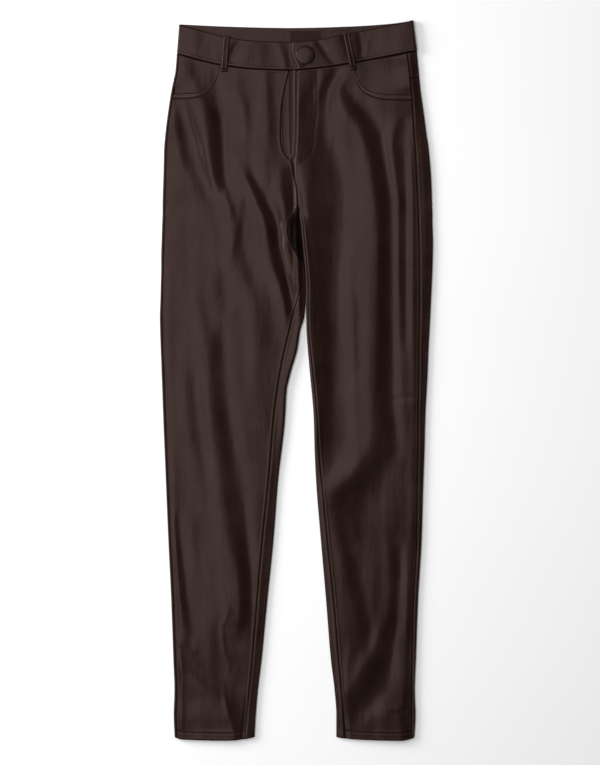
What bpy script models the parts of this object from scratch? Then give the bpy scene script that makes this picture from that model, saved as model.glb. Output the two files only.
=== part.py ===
"""Faux leather leggings, laid flat on their back.

The frame: +X is the wearer's left, +Y runs from hem to waist, +Z is up from the surface.
All sizes below are in millimetres, and the meshes are made in metres.
The origin is on the surface, under the middle of the leggings.
"""
import math

import bmesh
import bpy
import numpy as np

MM = 0.001

# ---------------------------------------------------------------- driving sizes
LENGTH = 1000.0
HALF_LENGTH = LENGTH / 2.0
WALL = 1.2
SEAM_GAP = 0.4
LEG_GAP = 0.4
LAYER_DROP = 1.9
FACING_WALL = 1.0

REST_HEIGHT = 4.7
LOWEST_TOP = 3.0
LAYERED_TOP = 4.6
LAYERED_FROM_Y = 365.0
HIGHEST_TOP = 6.3
EDGE_HEIGHT = 4.6
EDGE_BLEND = 14.0
HOLLOW_EDGE_HEIGHT = 3.6
HEM_DEPTH = 13.0
HEM_LIFT = 0.5

CROTCH_Y = 243.5
CENTRE_BACK_X = 2.6
ROUND_START = math.radians(95.0)
LIP = math.radians(20.0)
LIP_LENGTH = 20.0
LIP_SPREAD = 25.0
ARC_WEIGHT = 3.0

BAND_WALL = 1.6
BAND_TOP = 5.6
UNDERLAP_TOP = 4.2
OVERLAP_TOP = 6.2
UNDERLAP_END_X = 26.0
UNDERLAP_RAMP_X = -16.0
OVERLAP_RAMP_X = 28.0
LAP_RAMP = 45.0
FLY_TOP_Y = 431.0

LOOP_WIDTH = 10.0
LOOP_WALL = 1.4
LOOP_CLEARANCE = 0.6
ZIP_WIDTH = 5.2
ZIP_WALL = 1.0
BUTTON_RADIUS = 13.3
BUTTON_HEIGHT = 4.2
BUTTON_FOOT = 0.4
BUTTON_CENTRE = (12.4, 451.5)
LABEL_WALL = 0.4

# ---------------------------------------------------------------- leg sections
# Each row is a level of one leg. "front_edge" is the edge of the front panel on the
# inner side: the fly, the centre front seam, and the inseam below the crotch.
SECTION_COLUMNS = ("y", "outer", "outseam", "front_edge", "inner")
RIGHT_SECTIONS = (
    (456.0, -166.0, -163.0, -9.5, 2.6),
    (431.0, -168.0, -164.8, -10.5, 2.6),
    (404.0, -173.5, -170.0, -16.0, 2.6),
    (375.5, -178.0, -175.0, -20.5, 2.6),
    (341.0, -182.3, -179.0, -21.5, 2.6),
    (320.0, -184.0, -180.5, -19.0, 2.6),
    (311.5, -184.2, -180.8, -14.5, 2.6),
    (300.5, -184.4, -181.2, -5.4, 2.6),
    (285.5, -184.8, -181.6, -3.5, 2.6),
    (264.5, -185.5, -182.0, 0.1, 2.6),
    (243.5, -186.0, -182.5, 1.5, 2.6),
    (232.5, -186.0, -183.0, -2.5, 4.2),
    (220.0, -186.5, -183.0, -10.5, 5.5),
    (206.0, -187.0, -183.5, -11.5, 7.0),
    (189.5, -187.5, -184.0, -7.0, 8.5),
    (173.0, -188.0, -184.5, 1.5, 10.0),
    (153.5, -188.0, -185.0, 8.0, 12.0),
    (132.5, -188.5, -185.5, 7.0, 12.5),
    (111.5, -189.0, -186.0, 1.0, 12.5),
    (89.5, -189.8, -186.5, -5.0, 11.0),
    (70.0, -189.5, -186.0, -9.5, 5.5),
    (42.0, -188.5, -185.5, -16.5, 1.0),
    (14.5, -187.5, -184.0, -22.0, -7.0),
    (-13.5, -186.5, -183.0, -26.5, -13.5),
    (-55.0, -185.0, -181.5, -31.5, -16.0),
    (-138.5, -181.5, -178.5, -38.5, -25.5),
    (-221.5, -178.0, -175.0, -47.0, -32.0),
    (-305.0, -174.0, -170.5, -54.5, -40.5),
    (-388.5, -171.0, -167.5, -61.0, -48.5),
    (-430.0, -169.5, -166.0, -65.0, -53.5),
    (-464.5, -170.5, -167.0, -69.0, -56.5),
    (-500.0, -169.0, -165.8, -72.0, -58.5),
)
LEFT_SECTIONS = (
    (456.0, 167.5, 154.0, 1.6, 2.6),
    (431.0, 169.8, 157.3, 1.4, 2.6),
    (404.0, 172.5, 160.0, 1.0, 2.6),
    (375.5, 176.5, 162.0, 0.8, 2.6),
    (348.0, 180.0, 163.5, 0.5, 2.6),
    (320.0, 184.0, 165.5, -0.8, 2.6),
    (304.5, 185.5, 166.4, -4.2, 2.6),
    (285.5, 187.0, 167.4, -3.1, 2.6),
    (264.5, 188.0, 168.5, 0.6, 2.6),
    (243.5, 188.5, 169.5, 3.8, 2.6),
    (232.5, 189.0, 170.0, 6.2, 4.2),
    (220.0, 189.0, 170.0, 8.5, 5.5),
    (206.0, 189.5, 170.5, 10.0, 7.0),
    (189.5, 189.8, 171.0, 11.7, 8.5),
    (153.5, 189.0, 171.5, 15.0, 12.0),
    (132.5, 188.0, 171.5, 16.5, 12.5),
    (89.5, 186.0, 171.5, 16.5, 13.5),
    (70.0, 185.0, 171.0, 17.0, 14.0),
    (42.0, 183.5, 170.5, 19.5, 16.5),
    (14.5, 182.5, 170.5, 22.5, 19.5),
    (-55.0, 179.0, 169.5, 29.0, 26.0),
    (-96.5, 178.0, 169.5, 31.5, 26.5),
    (-138.5, 176.5, 168.5, 35.0, 28.5),
    (-221.5, 174.0, 167.5, 43.0, 35.0),
    (-305.0, 169.0, 163.0, 52.0, 42.0),
    (-388.5, 166.0, 161.0, 59.0, 48.5),
    (-430.0, 164.5, 160.5, 62.5, 53.0),
    (-464.5, 165.5, 160.5, 65.5, 55.5),
    (-500.0, 163.5, 159.5, 68.5, 55.5),
)

# Curves that cross the leggings, as x, y.
RIGHT_HEM = ((-170.0, -495.5), (-160.0, -498.5), (-134.0, -499.5), (-99.0, -500.0), (-75.0, -498.5), (-58.0, -495.5))
LEFT_HEM = ((55.0, -495.5), (66.0, -497.0), (88.0, -498.8), (144.0, -500.0), (156.0, -498.8), (165.0, -495.5))
FRONT_WAIST_SEAM = (
    (-166.0, 453.5), (-134.0, 445.0), (-106.0, 438.5), (-57.5, 432.5), (-9.0, 431.0), (46.5, 436.0), (102.0, 445.5),
    (167.5, 457.5),
)
BACK_WAIST_SEAM = ((-166.0, 453.5), (-92.0, 449.0), (-9.0, 447.0), (74.5, 449.5), (167.5, 457.5))
FRONT_BAND_TOP = (
    (-163.0, 493.5), (-134.0, 486.5), (-98.0, 477.0), (-50.5, 471.0), (-5.0, 470.0), (33.0, 473.5), (67.5, 481.0),
    (137.0, 494.0), (162.5, 500.0),
)
BACK_BAND_TOP = ((-163.0, 493.5), (-92.0, 490.0), (-9.0, 488.0), (74.5, 490.5), (130.0, 494.8), (162.5, 500.0))
YOKE_SEAM = ((-167.0, 418.0), (-85.0, 404.0), (2.6, 393.5), (85.0, 406.0), (170.0, 421.0))
RIGHT_POCKET_MOUTH = (
    (-170.8, 398.4), (-148.0, 398.5), (-136.5, 399.7), (-127.0, 402.7), (-120.5, 407.5), (-115.0, 414.5), (-111.0, 423.0),
    (-108.5, 431.0), (-107.5, 438.5),
)
LEFT_POCKET_MOUTH = (
    (160.0, 396.4), (137.0, 396.5), (123.0, 397.0), (112.0, 398.5), (101.0, 402.0), (93.0, 407.0), (87.0, 413.5),
    (83.0, 421.5), (80.0, 431.0), (79.0, 441.5),
)
BAND_LAP_END = ((470.0, -6.5), (459.0, -7.0), (448.0, -4.5), (439.5, -1.0), (431.0, 2.0))
ZIP_LINE = ((431.0, -2.2), (350.0, -2.9), (318.0, -5.2), (309.0, -8.2))

# ---------------------------------------------------------------- largest folds
# Each fold is a soft ridge (height above 0) or trough along a line from waist to hem.
# The columns are: name, height, half width, and the line as y, x.
FOLDS = (
    ("right pocket ridge", 1.0, 9.0, ((424, -134), (390, -127), (313, -123), (281, -117), (260, -108))),
    ("right pocket trough", -1.1, 9.0, ((396, -114), (348, -106), (313, -104), (286, -99), (260, -91))),
    ("right thigh ridge", 1.1, 13.0, ((323, -84), (278, -68), (223, -52), (167, -36), (112, -18), (84, -14))),
    ("right thigh trough", -1.5, 10.0, ((306, -64), (250, -46), (223, -30), (195, -24), (167, -17), (132, -10))),
    ("right fork ridge", 0.9, 9.0, ((368, -54), (306, -36), (250, -20), (195, -15), (160, -8))),
    ("right inner thigh ridge", 0.9, 14.0, ((216, -92), (154, -73), (91, -64), (49, -62), (-6, -59))),
    ("right knee ridge", 1.3, 13.0, ((56, -130), (-41, -112), (-124, -96), (-208, -84), (-291, -77), (-340, -78))),
    ("right knee trough", -1.2, 11.0, ((30, -106), (-41, -90), (-124, -76), (-208, -66), (-291, -60), (-340, -62))),
    ("right ankle ridge", 0.9, 10.0, ((-369, -164), (-410, -127), (-444, -92), (-466, -80))),
    ("crotch hollow", -1.6, 8.0, ((248, 1), (232, 0), (220, -3), (206, -3), (190, 1), (165, 7))),
    ("left fly ridge", 1.2, 17.0, ((390, 8), (292, 12), (209, 20), (112, 28), (28, 34), (-90, 44))),
    ("left front trough", -1.4, 15.0, ((400, 42), (292, 48), (209, 55), (112, 54), (28, 58), (-60, 62))),
    ("left thigh ridge", 1.4, 19.0, ((392, 62), (348, 88), (281, 101), (223, 109), (112, 101), (0, 99), (-76, 91))),
    ("left thigh trough", -1.3, 13.0, ((396, 88), (348, 113), (292, 128), (209, 136), (140, 129), (63, 131), (-14, 128))),
    ("left knee ridge", 1.4, 12.0, ((-27, 127), (-87, 110), (-134, 74), (-187, 58), (-242, 64), (-312, 74), (-388, 91))),
    ("left knee trough", -1.2, 11.0, ((-110, 118), (-140, 102), (-190, 84), (-242, 88), (-300, 98), (-350, 106))),
    ("left calf ridge", 0.9, 10.0, ((-214, 128), (-305, 127), (-346, 118), (-405, 100))),
)
FOLD_FADE = 30.0

# ---------------------------------------------------------------- grids
FRONT_COLUMNS = 14
INNER_ROUND_COLUMNS = 8
FLOOR_COLUMNS = 4
OUTER_ROUND_COLUMNS = 8
BAND_FRONT_COLUMNS = 14
BAND_ROUND_COLUMNS = 6
BAND_ROWS = 4
LEG_LEVELS = tuple(float(level) for level in range(-430, 60, 35))
CROTCH_LEVELS = (
    72.0, 90.0, 111.0, 132.0, 153.0, 173.0, 190.0, 206.0, 220.0, 232.0, 243.2, 243.9, 252.0, 264.0, 282.0, 300.0, 316.0,
    336.0, 360.0,
)
HEM_STEP = 1.2
HEM_LEVELS = (-HALF_LENGTH + HEM_DEPTH - HEM_STEP, -HALF_LENGTH + HEM_DEPTH + HEM_STEP, -462.0)
TOP_ROWS = 5
YOKE_ROWS = 3

RIGHT = "right"
LEFT = "left"
OUTWARD = {RIGHT: -1.0, LEFT: 1.0}
SECTIONS = {RIGHT: RIGHT_SECTIONS, LEFT: LEFT_SECTIONS}
HEMS = {RIGHT: RIGHT_HEM, LEFT: LEFT_HEM}
POCKET_MOUTHS = {RIGHT: RIGHT_POCKET_MOUTH, LEFT: LEFT_POCKET_MOUTH}


# ---------------------------------------------------------------- curves
def smooth_line(points, at):
    """A smooth curve through points (u, v) that never overshoots them, read at u."""
    table = np.array(sorted(points), dtype=float)
    u = table[:, 0]
    v = table[:, 1]
    step = np.diff(u)
    slope = np.diff(v) / step
    tangent = np.zeros_like(v)
    tangent[0] = slope[0]
    tangent[-1] = slope[-1]
    for k in range(1, len(u) - 1):
        if slope[k - 1] * slope[k] > 0.0:
            before = 2.0 * step[k] + step[k - 1]
            after = step[k] + 2.0 * step[k - 1]
            tangent[k] = (before + after) / (before / slope[k - 1] + after / slope[k])
    at = np.clip(np.asarray(at, dtype=float), u[0], u[-1])
    k = np.clip(np.searchsorted(u, at, side="right") - 1, 0, len(step) - 1)
    t = (at - u[k]) / step[k]
    start = (1.0 + 2.0 * t) * (1.0 - t) ** 2 * v[k] + t * (1.0 - t) ** 2 * step[k] * tangent[k]
    end = t ** 2 * (3.0 - 2.0 * t) * v[k + 1] + t ** 2 * (t - 1.0) * step[k] * tangent[k + 1]
    return start + end


def ease(t):
    """0 below 0, 1 above 1, and smooth between."""
    t = np.clip(t, 0.0, 1.0)
    return t * t * (3.0 - 2.0 * t)


def mix(a, b, t):
    return a + (b - a) * t


def along(points, fractions):
    """Points at even fractions of the length of a polyline."""
    points = np.array(points, dtype=float)
    lengths = np.hypot(*np.diff(points, axis=0).T)
    travelled = np.concatenate(([0.0], np.cumsum(lengths))) / lengths.sum()
    return np.stack([np.interp(fractions, travelled, points[:, k]) for k in range(points.shape[1])], axis=-1)


def section(side, column, y):
    """Where a named line of a leg is, at a level."""
    k = SECTION_COLUMNS.index(column)
    x = smooth_line([(row[0], row[k]) for row in SECTIONS[side]], y)
    if column == "inner":
        x = x + OUTWARD[side] * LEG_GAP / 2.0
    return x


# ---------------------------------------------------------------- the top surface
def fold_height(x, y):
    """All the folds together, before the edges are rounded down."""
    total = np.zeros(np.broadcast(x, y).shape)
    for name, height, half_width, line in FOLDS:
        top = line[0][0]
        bottom = line[-1][0]
        centre = smooth_line(line, y)
        fade = ease((top + FOLD_FADE - y) / FOLD_FADE) * ease((y - bottom + FOLD_FADE) / FOLD_FADE)
        total = total + height * fade * np.exp(-(((x - centre) / half_width) ** 2))
    return total


def open_height(x, y):
    """Height of the outer surface away from the folded edges, with room for the pockets' layers."""
    lowest = mix(LOWEST_TOP, LAYERED_TOP, ease((y - LAYERED_FROM_Y) / EDGE_BLEND))
    return np.clip(REST_HEIGHT + fold_height(x, y), lowest, HIGHEST_TOP)


def inner_edge_height(side, y):
    """Height of a leg at its inner folded edge."""
    hollow = ease((y - 60.0) / 60.0) if side == RIGHT else 0.0
    resting = mix(EDGE_HEIGHT, HOLLOW_EDGE_HEIGHT, hollow)
    unfolded = open_height(section(side, "inner", CROTCH_Y), np.asarray(y, dtype=float))
    return mix(unfolded, resting, ease((CROTCH_Y - y) / EDGE_BLEND))


def top_height(side, x, y):
    """Height of the outer surface of the upper layer, rounded over at the folded edges."""
    sign = OUTWARD[side]
    height = open_height(x, y)
    to_outer = sign * (section(side, "outer", y) - x)
    to_inner = sign * (x - section(side, "inner", y))
    outer_radius = EDGE_HEIGHT / 2.0
    inner_height = inner_edge_height(side, y)
    inner_radius = inner_height / 2.0
    height = mix(EDGE_HEIGHT, height, ease((to_outer - outer_radius) / EDGE_BLEND))
    below_crotch = ease((CROTCH_Y - y) / EDGE_BLEND)
    near_inner = mix(inner_height, height, ease((to_inner - inner_radius) / EDGE_BLEND))
    height = mix(height, near_inner, below_crotch)
    short = np.clip(inner_radius - to_inner, 0.0, inner_radius * 0.9)
    height = height - np.where(y < CROTCH_Y, inner_radius - np.sqrt(inner_radius ** 2 - short ** 2), 0.0)
    hem = ease((-HALF_LENGTH + HEM_DEPTH + HEM_STEP - y) / (2.0 * HEM_STEP))
    return height + HEM_LIFT * hem * ease((to_outer - outer_radius) / EDGE_BLEND)


def top_normal(side, x, y):
    """Unit normals of the outer surface of the upper layer."""
    reach = 0.5
    rise_x = (top_height(side, x + reach, y) - top_height(side, x - reach, y)) / (2.0 * reach)
    rise_y = (top_height(side, x, y + reach) - top_height(side, x, y - reach)) / (2.0 * reach)
    normal = np.stack([-rise_x, -rise_y, np.ones_like(rise_x)], axis=-1)
    return normal / np.linalg.norm(normal, axis=-1, keepdims=True)


# ---------------------------------------------------------------- meshes
def principled(name, colour, roughness, metallic=0.0):
    material = bpy.data.materials.new(name)
    material.use_nodes = True
    shader = material.node_tree.nodes["Principled BSDF"]
    shader.inputs["Base Color"].default_value = (*colour, 1.0)
    shader.inputs["Roughness"].default_value = roughness
    shader.inputs["Metallic"].default_value = metallic
    material.diffuse_color = (*colour, 1.0)
    return material


def add_object(name, mesh, material):
    """Turn a mesh's faces outwards, smooth it and add it to the scene."""
    shape = bmesh.new()
    shape.from_mesh(mesh)
    bmesh.ops.recalc_face_normals(shape, faces=shape.faces)
    bmesh.ops.triangulate(shape, faces=shape.faces)
    shape.to_mesh(mesh)
    shape.free()
    mesh.materials.append(material)
    mesh.shade_smooth()
    mesh.set_sharp_from_angle(angle=math.radians(40.0))
    piece = bpy.data.objects.new(name, mesh)
    bpy.context.scene.collection.objects.link(piece)
    return piece


def add_wall(name, outside, inside, material):
    """One closed piece of cloth between two grids of points, in millimetres."""
    rows, columns = outside.shape[:2]
    points = np.concatenate([outside.reshape(-1, 3), inside.reshape(-1, 3)]) * MM
    number = np.arange(rows * columns).reshape(rows, columns)
    under = number + rows * columns
    faces = []
    for r in range(rows - 1):
        for c in range(columns - 1):
            faces.append((number[r, c], number[r, c + 1], number[r + 1, c + 1], number[r + 1, c]))
            faces.append((under[r, c], under[r + 1, c], under[r + 1, c + 1], under[r, c + 1]))
    rim = [(0, c) for c in range(columns)]
    rim += [(r, columns - 1) for r in range(1, rows)]
    rim += [(rows - 1, c) for c in range(columns - 2, -1, -1)]
    rim += [(r, 0) for r in range(rows - 2, 0, -1)]
    for k, here in enumerate(rim):
        there = rim[(k + 1) % len(rim)]
        faces.append((number[here], under[here], under[there], number[there]))
    mesh = bpy.data.meshes.new(name)
    mesh.from_pydata(points.tolist(), [], [tuple(int(v) for v in face) for face in faces])
    return add_object(name, mesh, material)


# ---------------------------------------------------------------- front panels
def front_top_edge(side, fractions):
    """The top edge of a front: round the pocket mouth, then along the waist seam."""
    mouth = list(POCKET_MOUTHS[side])
    corner = mouth.pop()
    end_x = float(section(side, "front_edge", FLY_TOP_Y))
    seam_x = np.linspace(corner[0], end_x, 9)
    seam = [(x, float(smooth_line(FRONT_WAIST_SEAM, x)) - SEAM_GAP / 2.0) for x in seam_x]
    return along(mouth + seam, fractions)


def front_grid(side):
    """Plan positions of a front's points, from hem to waist and from outseam to inner edge."""
    fractions = np.linspace(0.0, 1.0, FRONT_COLUMNS + 1)
    sign = OUTWARD[side]
    levels = list(HEM_LEVELS) + list(LEG_LEVELS) + list(CROTCH_LEVELS)
    rows = []
    for level in levels:
        outer = float(section(side, "outseam", level)) - sign * SEAM_GAP / 2.0
        inner = float(section(side, "front_edge", level)) + sign * SEAM_GAP / 2.0
        x = mix(outer, inner, fractions)
        rows.append(np.stack([x, np.full_like(x, level)], axis=-1))
    hem_y = smooth_line(HEMS[side], rows[0][:, 0])
    hem_outer = section(side, "outseam", hem_y) - sign * SEAM_GAP / 2.0
    hem_inner = section(side, "front_edge", hem_y) + sign * SEAM_GAP / 2.0
    rows.insert(0, np.stack([mix(hem_outer, hem_inner, fractions), hem_y], axis=-1))
    base = rows[-1]
    edge = front_top_edge(side, fractions)
    base_inner = base[-1, 0]
    for v in np.linspace(0.0, 1.0, TOP_ROWS + 1)[1:]:
        row = mix(base, edge, v)
        wanted = float(section(side, "front_edge", row[-1, 1])) + sign * SEAM_GAP / 2.0
        straight = mix(base_inner, edge[-1, 0], v)
        row[:, 0] += (wanted - straight) * fractions ** 2
        rows.append(row)
    return np.stack(rows)


def add_front(side, material):
    plan = front_grid(side)
    x = plan[..., 0]
    y = plan[..., 1]
    outside = np.dstack([x, y, top_height(side, x, y)])
    inside = outside - WALL * top_normal(side, x, y)
    return add_wall("front_panel_" + side, outside, inside, material)


# ---------------------------------------------------------------- back panels
def inner_round_start(side, y):
    """The angle at which the back's inner edge starts, measured up from the floor."""
    radius = inner_edge_height(side, y) / 2.0
    distance = np.abs(section(side, "front_edge", y) - section(side, "inner", y)) - SEAM_GAP / 2.0
    on_round = math.pi - np.arcsin(np.clip(1.0 - distance / radius, 0.0, 1.0))
    above = mix(ROUND_START, LIP, ease((y - CROTCH_Y) / LIP_LENGTH))
    return np.where(y > CROTCH_Y, above, on_round)


def inner_round(side, g, y):
    """Points of the back from its inner seam, round the inner fold, to the floor: g is 0 to 1."""
    sign = OUTWARD[side]
    edge = section(side, "inner", y)
    radius = inner_edge_height(side, y) / 2.0
    start = inner_round_start(side, y)
    distance = np.abs(section(side, "front_edge", y) - edge) - SEAM_GAP / 2.0
    strip = np.where(y > CROTCH_Y, 0.0, np.maximum(distance - radius, 0.0))
    arc = radius * start * ARC_WEIGHT
    spread = LIP_SPREAD * ease((y - CROTCH_Y - LIP_LENGTH) / LIP_SPREAD)
    travelled = g * (strip + arc + spread)
    angle = np.clip(start - (travelled - strip) / (radius * ARC_WEIGHT), 0.0, start)
    on_floor = np.maximum(travelled - strip - arc, 0.0)
    seam_reach = np.where(y > CROTCH_Y, radius * np.sin(np.minimum(start, math.pi / 2.0)), radius)
    x = edge + sign * (seam_reach - radius * np.sin(angle) + on_floor)
    z = radius - radius * np.cos(angle)
    normal = np.stack([-sign * np.sin(angle), np.zeros_like(x), -np.cos(angle)], axis=-1)
    on_strip = travelled < strip
    strip_x = edge + sign * (radius + strip - np.minimum(travelled, strip))
    x = np.where(on_strip, strip_x, x)
    z = np.where(on_strip, top_height(side, strip_x, y), z)
    normal = np.where(on_strip[..., None], top_normal(side, strip_x, y), normal)
    return x, z, normal


def outer_round(side, g, y):
    """Points of the back from the floor, round the outer fold, to the outseam: g is 0 to 1."""
    sign = OUTWARD[side]
    edge = section(side, "outer", y)
    radius = np.full_like(edge, EDGE_HEIGHT / 2.0)
    distance = np.abs(edge - section(side, "outseam", y)) - SEAM_GAP / 2.0
    strip = np.maximum(distance - radius, 0.0)
    end = math.pi - np.arcsin(np.clip(1.0 - distance / radius, 0.0, 1.0))
    arc = radius * end * ARC_WEIGHT
    travelled = g * (arc + strip)
    angle = np.clip(travelled / (radius * ARC_WEIGHT), 0.0, end)
    x = edge - sign * (radius - radius * np.sin(angle))
    z = radius - radius * np.cos(angle)
    normal = np.stack([sign * np.sin(angle), np.zeros_like(x), -np.cos(angle)], axis=-1)
    on_strip = travelled > arc
    strip_x = edge - sign * (radius + np.maximum(travelled - arc, 0.0))
    x = np.where(on_strip, strip_x, x)
    z = np.where(on_strip, top_height(side, strip_x, y), z)
    normal = np.where(on_strip[..., None], top_normal(side, strip_x, y), normal)
    return x, z, normal


def back_points(side, y):
    """Outer points and normals of a back for a grid of levels, one column for each step round it."""
    inner_g = np.linspace(0.0, 1.0, INNER_ROUND_COLUMNS + 1)
    outer_g = np.linspace(0.0, 1.0, OUTER_ROUND_COLUMNS + 1)
    first = y[:, :INNER_ROUND_COLUMNS + 1]
    last = y[:, -OUTER_ROUND_COLUMNS - 1:]
    x_in, z_in, n_in = inner_round(side, np.broadcast_to(inner_g, first.shape), first)
    x_out, z_out, n_out = outer_round(side, np.broadcast_to(outer_g, last.shape), last)
    f = np.linspace(0.0, 1.0, FLOOR_COLUMNS + 1)[1:-1]
    x_mid = mix(x_in[:, -1:], x_out[:, :1], f)
    z_mid = np.zeros_like(x_mid)
    n_mid = np.zeros(x_mid.shape + (3,))
    n_mid[..., 2] = -1.0
    x = np.concatenate([x_in, x_mid, x_out], axis=1)
    z = np.concatenate([z_in, z_mid, z_out], axis=1)
    normal = np.concatenate([n_in, n_mid, n_out], axis=1)
    return np.dstack([x, y, z]), normal


def back_levels(side, bottom, top, rows):
    """Levels between two curves across a back, found for each column where it lies."""
    columns = INNER_ROUND_COLUMNS + FLOOR_COLUMNS + OUTER_ROUND_COLUMNS + 1
    v = np.linspace(0.0, 1.0, rows + 1)[:, None]
    y = np.full((rows + 1, columns), 0.5 * (bottom(0.0, 0.0) + top(0.0, 0.0)))
    for _ in range(4):
        points, _normal = back_points(side, y)
        x = points[..., 0]
        upper = ease(points[..., 2] / EDGE_HEIGHT)
        y = mix(bottom(x, upper), top(x, upper), v)
    return y


def yoke_line(x, upper):
    return smooth_line(YOKE_SEAM, x)


def waist_line(x, upper):
    return mix(smooth_line(BACK_WAIST_SEAM, x), smooth_line(FRONT_WAIST_SEAM, x), upper)


def add_back(side, material):
    columns = INNER_ROUND_COLUMNS + FLOOR_COLUMNS + OUTER_ROUND_COLUMNS + 1
    levels = np.array(list(HEM_LEVELS) + list(LEG_LEVELS) + list(CROTCH_LEVELS))
    straight = np.repeat(levels[:, None], columns, axis=1)
    hem_row = back_points(side, np.full((1, columns), HEM_LEVELS[0]))[0]
    hem = smooth_line(HEMS[side], hem_row[..., 0])
    last_level = CROTCH_LEVELS[-1]
    below_yoke = back_levels(
        side, lambda x, upper: np.full_like(x, last_level), lambda x, upper: yoke_line(x, upper) - SEAM_GAP / 2.0, 2
    )
    y = np.concatenate([hem, straight, below_yoke[1:]])
    outside, normal = back_points(side, y)
    return add_wall("back_panel_" + side, outside, outside - WALL * normal, material)


def add_yoke(side, material):
    y = back_levels(
        side,
        lambda x, upper: yoke_line(x, upper) + SEAM_GAP / 2.0,
        lambda x, upper: waist_line(x, upper) - SEAM_GAP / 2.0,
        YOKE_ROWS,
    )
    outside, normal = back_points(side, y)
    return add_wall("yoke_" + side, outside, outside - WALL * normal, material)


# ---------------------------------------------------------------- waistband
def band_edge_x(side, v):
    """The band's folded ends, from its bottom edge to its top edge."""
    bottom, top = ((-166.0, -163.0), (167.5, 162.5))[side == LEFT]
    return mix(bottom, top, v)


def front_band_top(side, x):
    """Height of the band's front: its right end goes under its left end."""
    if side == RIGHT:
        return mix(UNDERLAP_TOP, BAND_TOP, ease((UNDERLAP_RAMP_X - x) / LAP_RAMP))
    return mix(OVERLAP_TOP, BAND_TOP, ease((x - OVERLAP_RAMP_X) / LAP_RAMP))


def band_column(x, z, normal, v, upper):
    """One column of the band's points, from its bottom edge to its top edge."""
    bottom = mix(smooth_line(BACK_WAIST_SEAM, x), smooth_line(FRONT_WAIST_SEAM, x), upper) + SEAM_GAP / 2.0
    top = mix(smooth_line(BACK_BAND_TOP, x), smooth_line(FRONT_BAND_TOP, x), upper)
    y = mix(bottom, top, v)
    outside = np.stack([x, y, np.broadcast_to(z, x.shape)], axis=-1)
    return outside, np.broadcast_to(np.array(normal, dtype=float), outside.shape)


def add_waistband(material):
    v = np.linspace(0.0, 1.0, BAND_ROWS + 1)
    radius = BAND_TOP / 2.0
    columns = []
    for f in np.linspace(0.0, 1.0, BAND_FRONT_COLUMNS + 1):
        x = mix(np.full_like(v, UNDERLAP_END_X), band_edge_x(RIGHT, v) + radius, f)
        columns.append(band_column(x, front_band_top(RIGHT, x), (0.0, 0.0, 1.0), v, 1.0))
    for step in range(1, BAND_ROUND_COLUMNS):
        angle = math.pi * (1.0 - step / BAND_ROUND_COLUMNS)
        x = band_edge_x(RIGHT, v) + radius - radius * math.sin(angle)
        z = radius - radius * math.cos(angle)
        columns.append(band_column(x, z, (-math.sin(angle), 0.0, -math.cos(angle)), v, ease(z / BAND_TOP)))
    for f in np.linspace(0.0, 1.0, BAND_FRONT_COLUMNS + 1):
        x = mix(band_edge_x(RIGHT, v) + radius, band_edge_x(LEFT, v) - radius, f)
        columns.append(band_column(x, 0.0, (0.0, 0.0, -1.0), v, 0.0))
    for step in range(1, BAND_ROUND_COLUMNS):
        angle = math.pi * step / BAND_ROUND_COLUMNS
        x = band_edge_x(LEFT, v) - radius + radius * math.sin(angle)
        z = radius - radius * math.cos(angle)
        columns.append(band_column(x, z, (math.sin(angle), 0.0, -math.cos(angle)), v, ease(z / BAND_TOP)))
    lap_y = mix(BAND_LAP_END[-1][0], BAND_LAP_END[0][0], v)
    for f in np.linspace(0.0, 1.0, BAND_FRONT_COLUMNS + 1):
        x = mix(band_edge_x(LEFT, v) - radius, smooth_line(BAND_LAP_END, lap_y), f)
        columns.append(band_column(x, front_band_top(LEFT, x), (0.0, 0.0, 1.0), v, 1.0))
    outside = np.stack([column[0] for column in columns])
    normal = np.stack([column[1] for column in columns])
    return add_wall("waistband", outside, outside - BAND_WALL * normal, material)


# ---------------------------------------------------------------- pockets, fly and trim
def add_pocket_facing(side, material):
    """The facing under a pocket mouth, which comes up to the surface at the outseam."""
    sign = OUTWARD[side]
    tuck = 8.0
    rise = 9.0
    u = np.linspace(0.0, 1.0, 9)
    v = np.linspace(0.0, 1.0, 7)[:, None]
    mouth = sorted(POCKET_MOUTHS[side])
    mouth_end = POCKET_MOUTHS[side][-1]
    inner_x = mouth_end[0] - sign * tuck
    low_outer = POCKET_MOUTHS[side][0][0]
    bottom_x = mix(low_outer, inner_x, u)
    bottom_y = smooth_line(mouth, bottom_x + sign * tuck) - tuck
    bottom_y = np.where(np.abs(bottom_x) < np.abs(mouth_end[0]), np.minimum(bottom_y, mouth_end[1] - 10.0), bottom_y)
    top_level = float(smooth_line(FRONT_WAIST_SEAM, sign * 155.0))
    top_outer = float(section(side, "outseam", top_level))
    top_x = mix(top_outer, inner_x, u)
    top_y = smooth_line(FRONT_WAIST_SEAM, top_x) - SEAM_GAP / 2.0
    x = mix(bottom_x, top_x, v)
    y = mix(bottom_y, top_y, v)
    outseam_x = section(side, "outseam", y) - sign * SEAM_GAP
    x = mix(inner_x, outseam_x, (x - inner_x) / (mix(low_outer, top_outer, v) - inner_x))
    from_outseam = np.abs(x - section(side, "outseam", y))
    above_mouth = y - smooth_line(mouth, x)
    risen = (1.0 - ease(from_outseam / rise)) * ease((above_mouth - 2.0) / rise)
    drop = LAYER_DROP * (1.0 - risen)
    outside = np.dstack([x, y, top_height(side, x, y) - drop])
    inside = outside - FACING_WALL * top_normal(side, x, y)
    return add_wall("pocket_facing_" + side, outside, inside, material)


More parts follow.
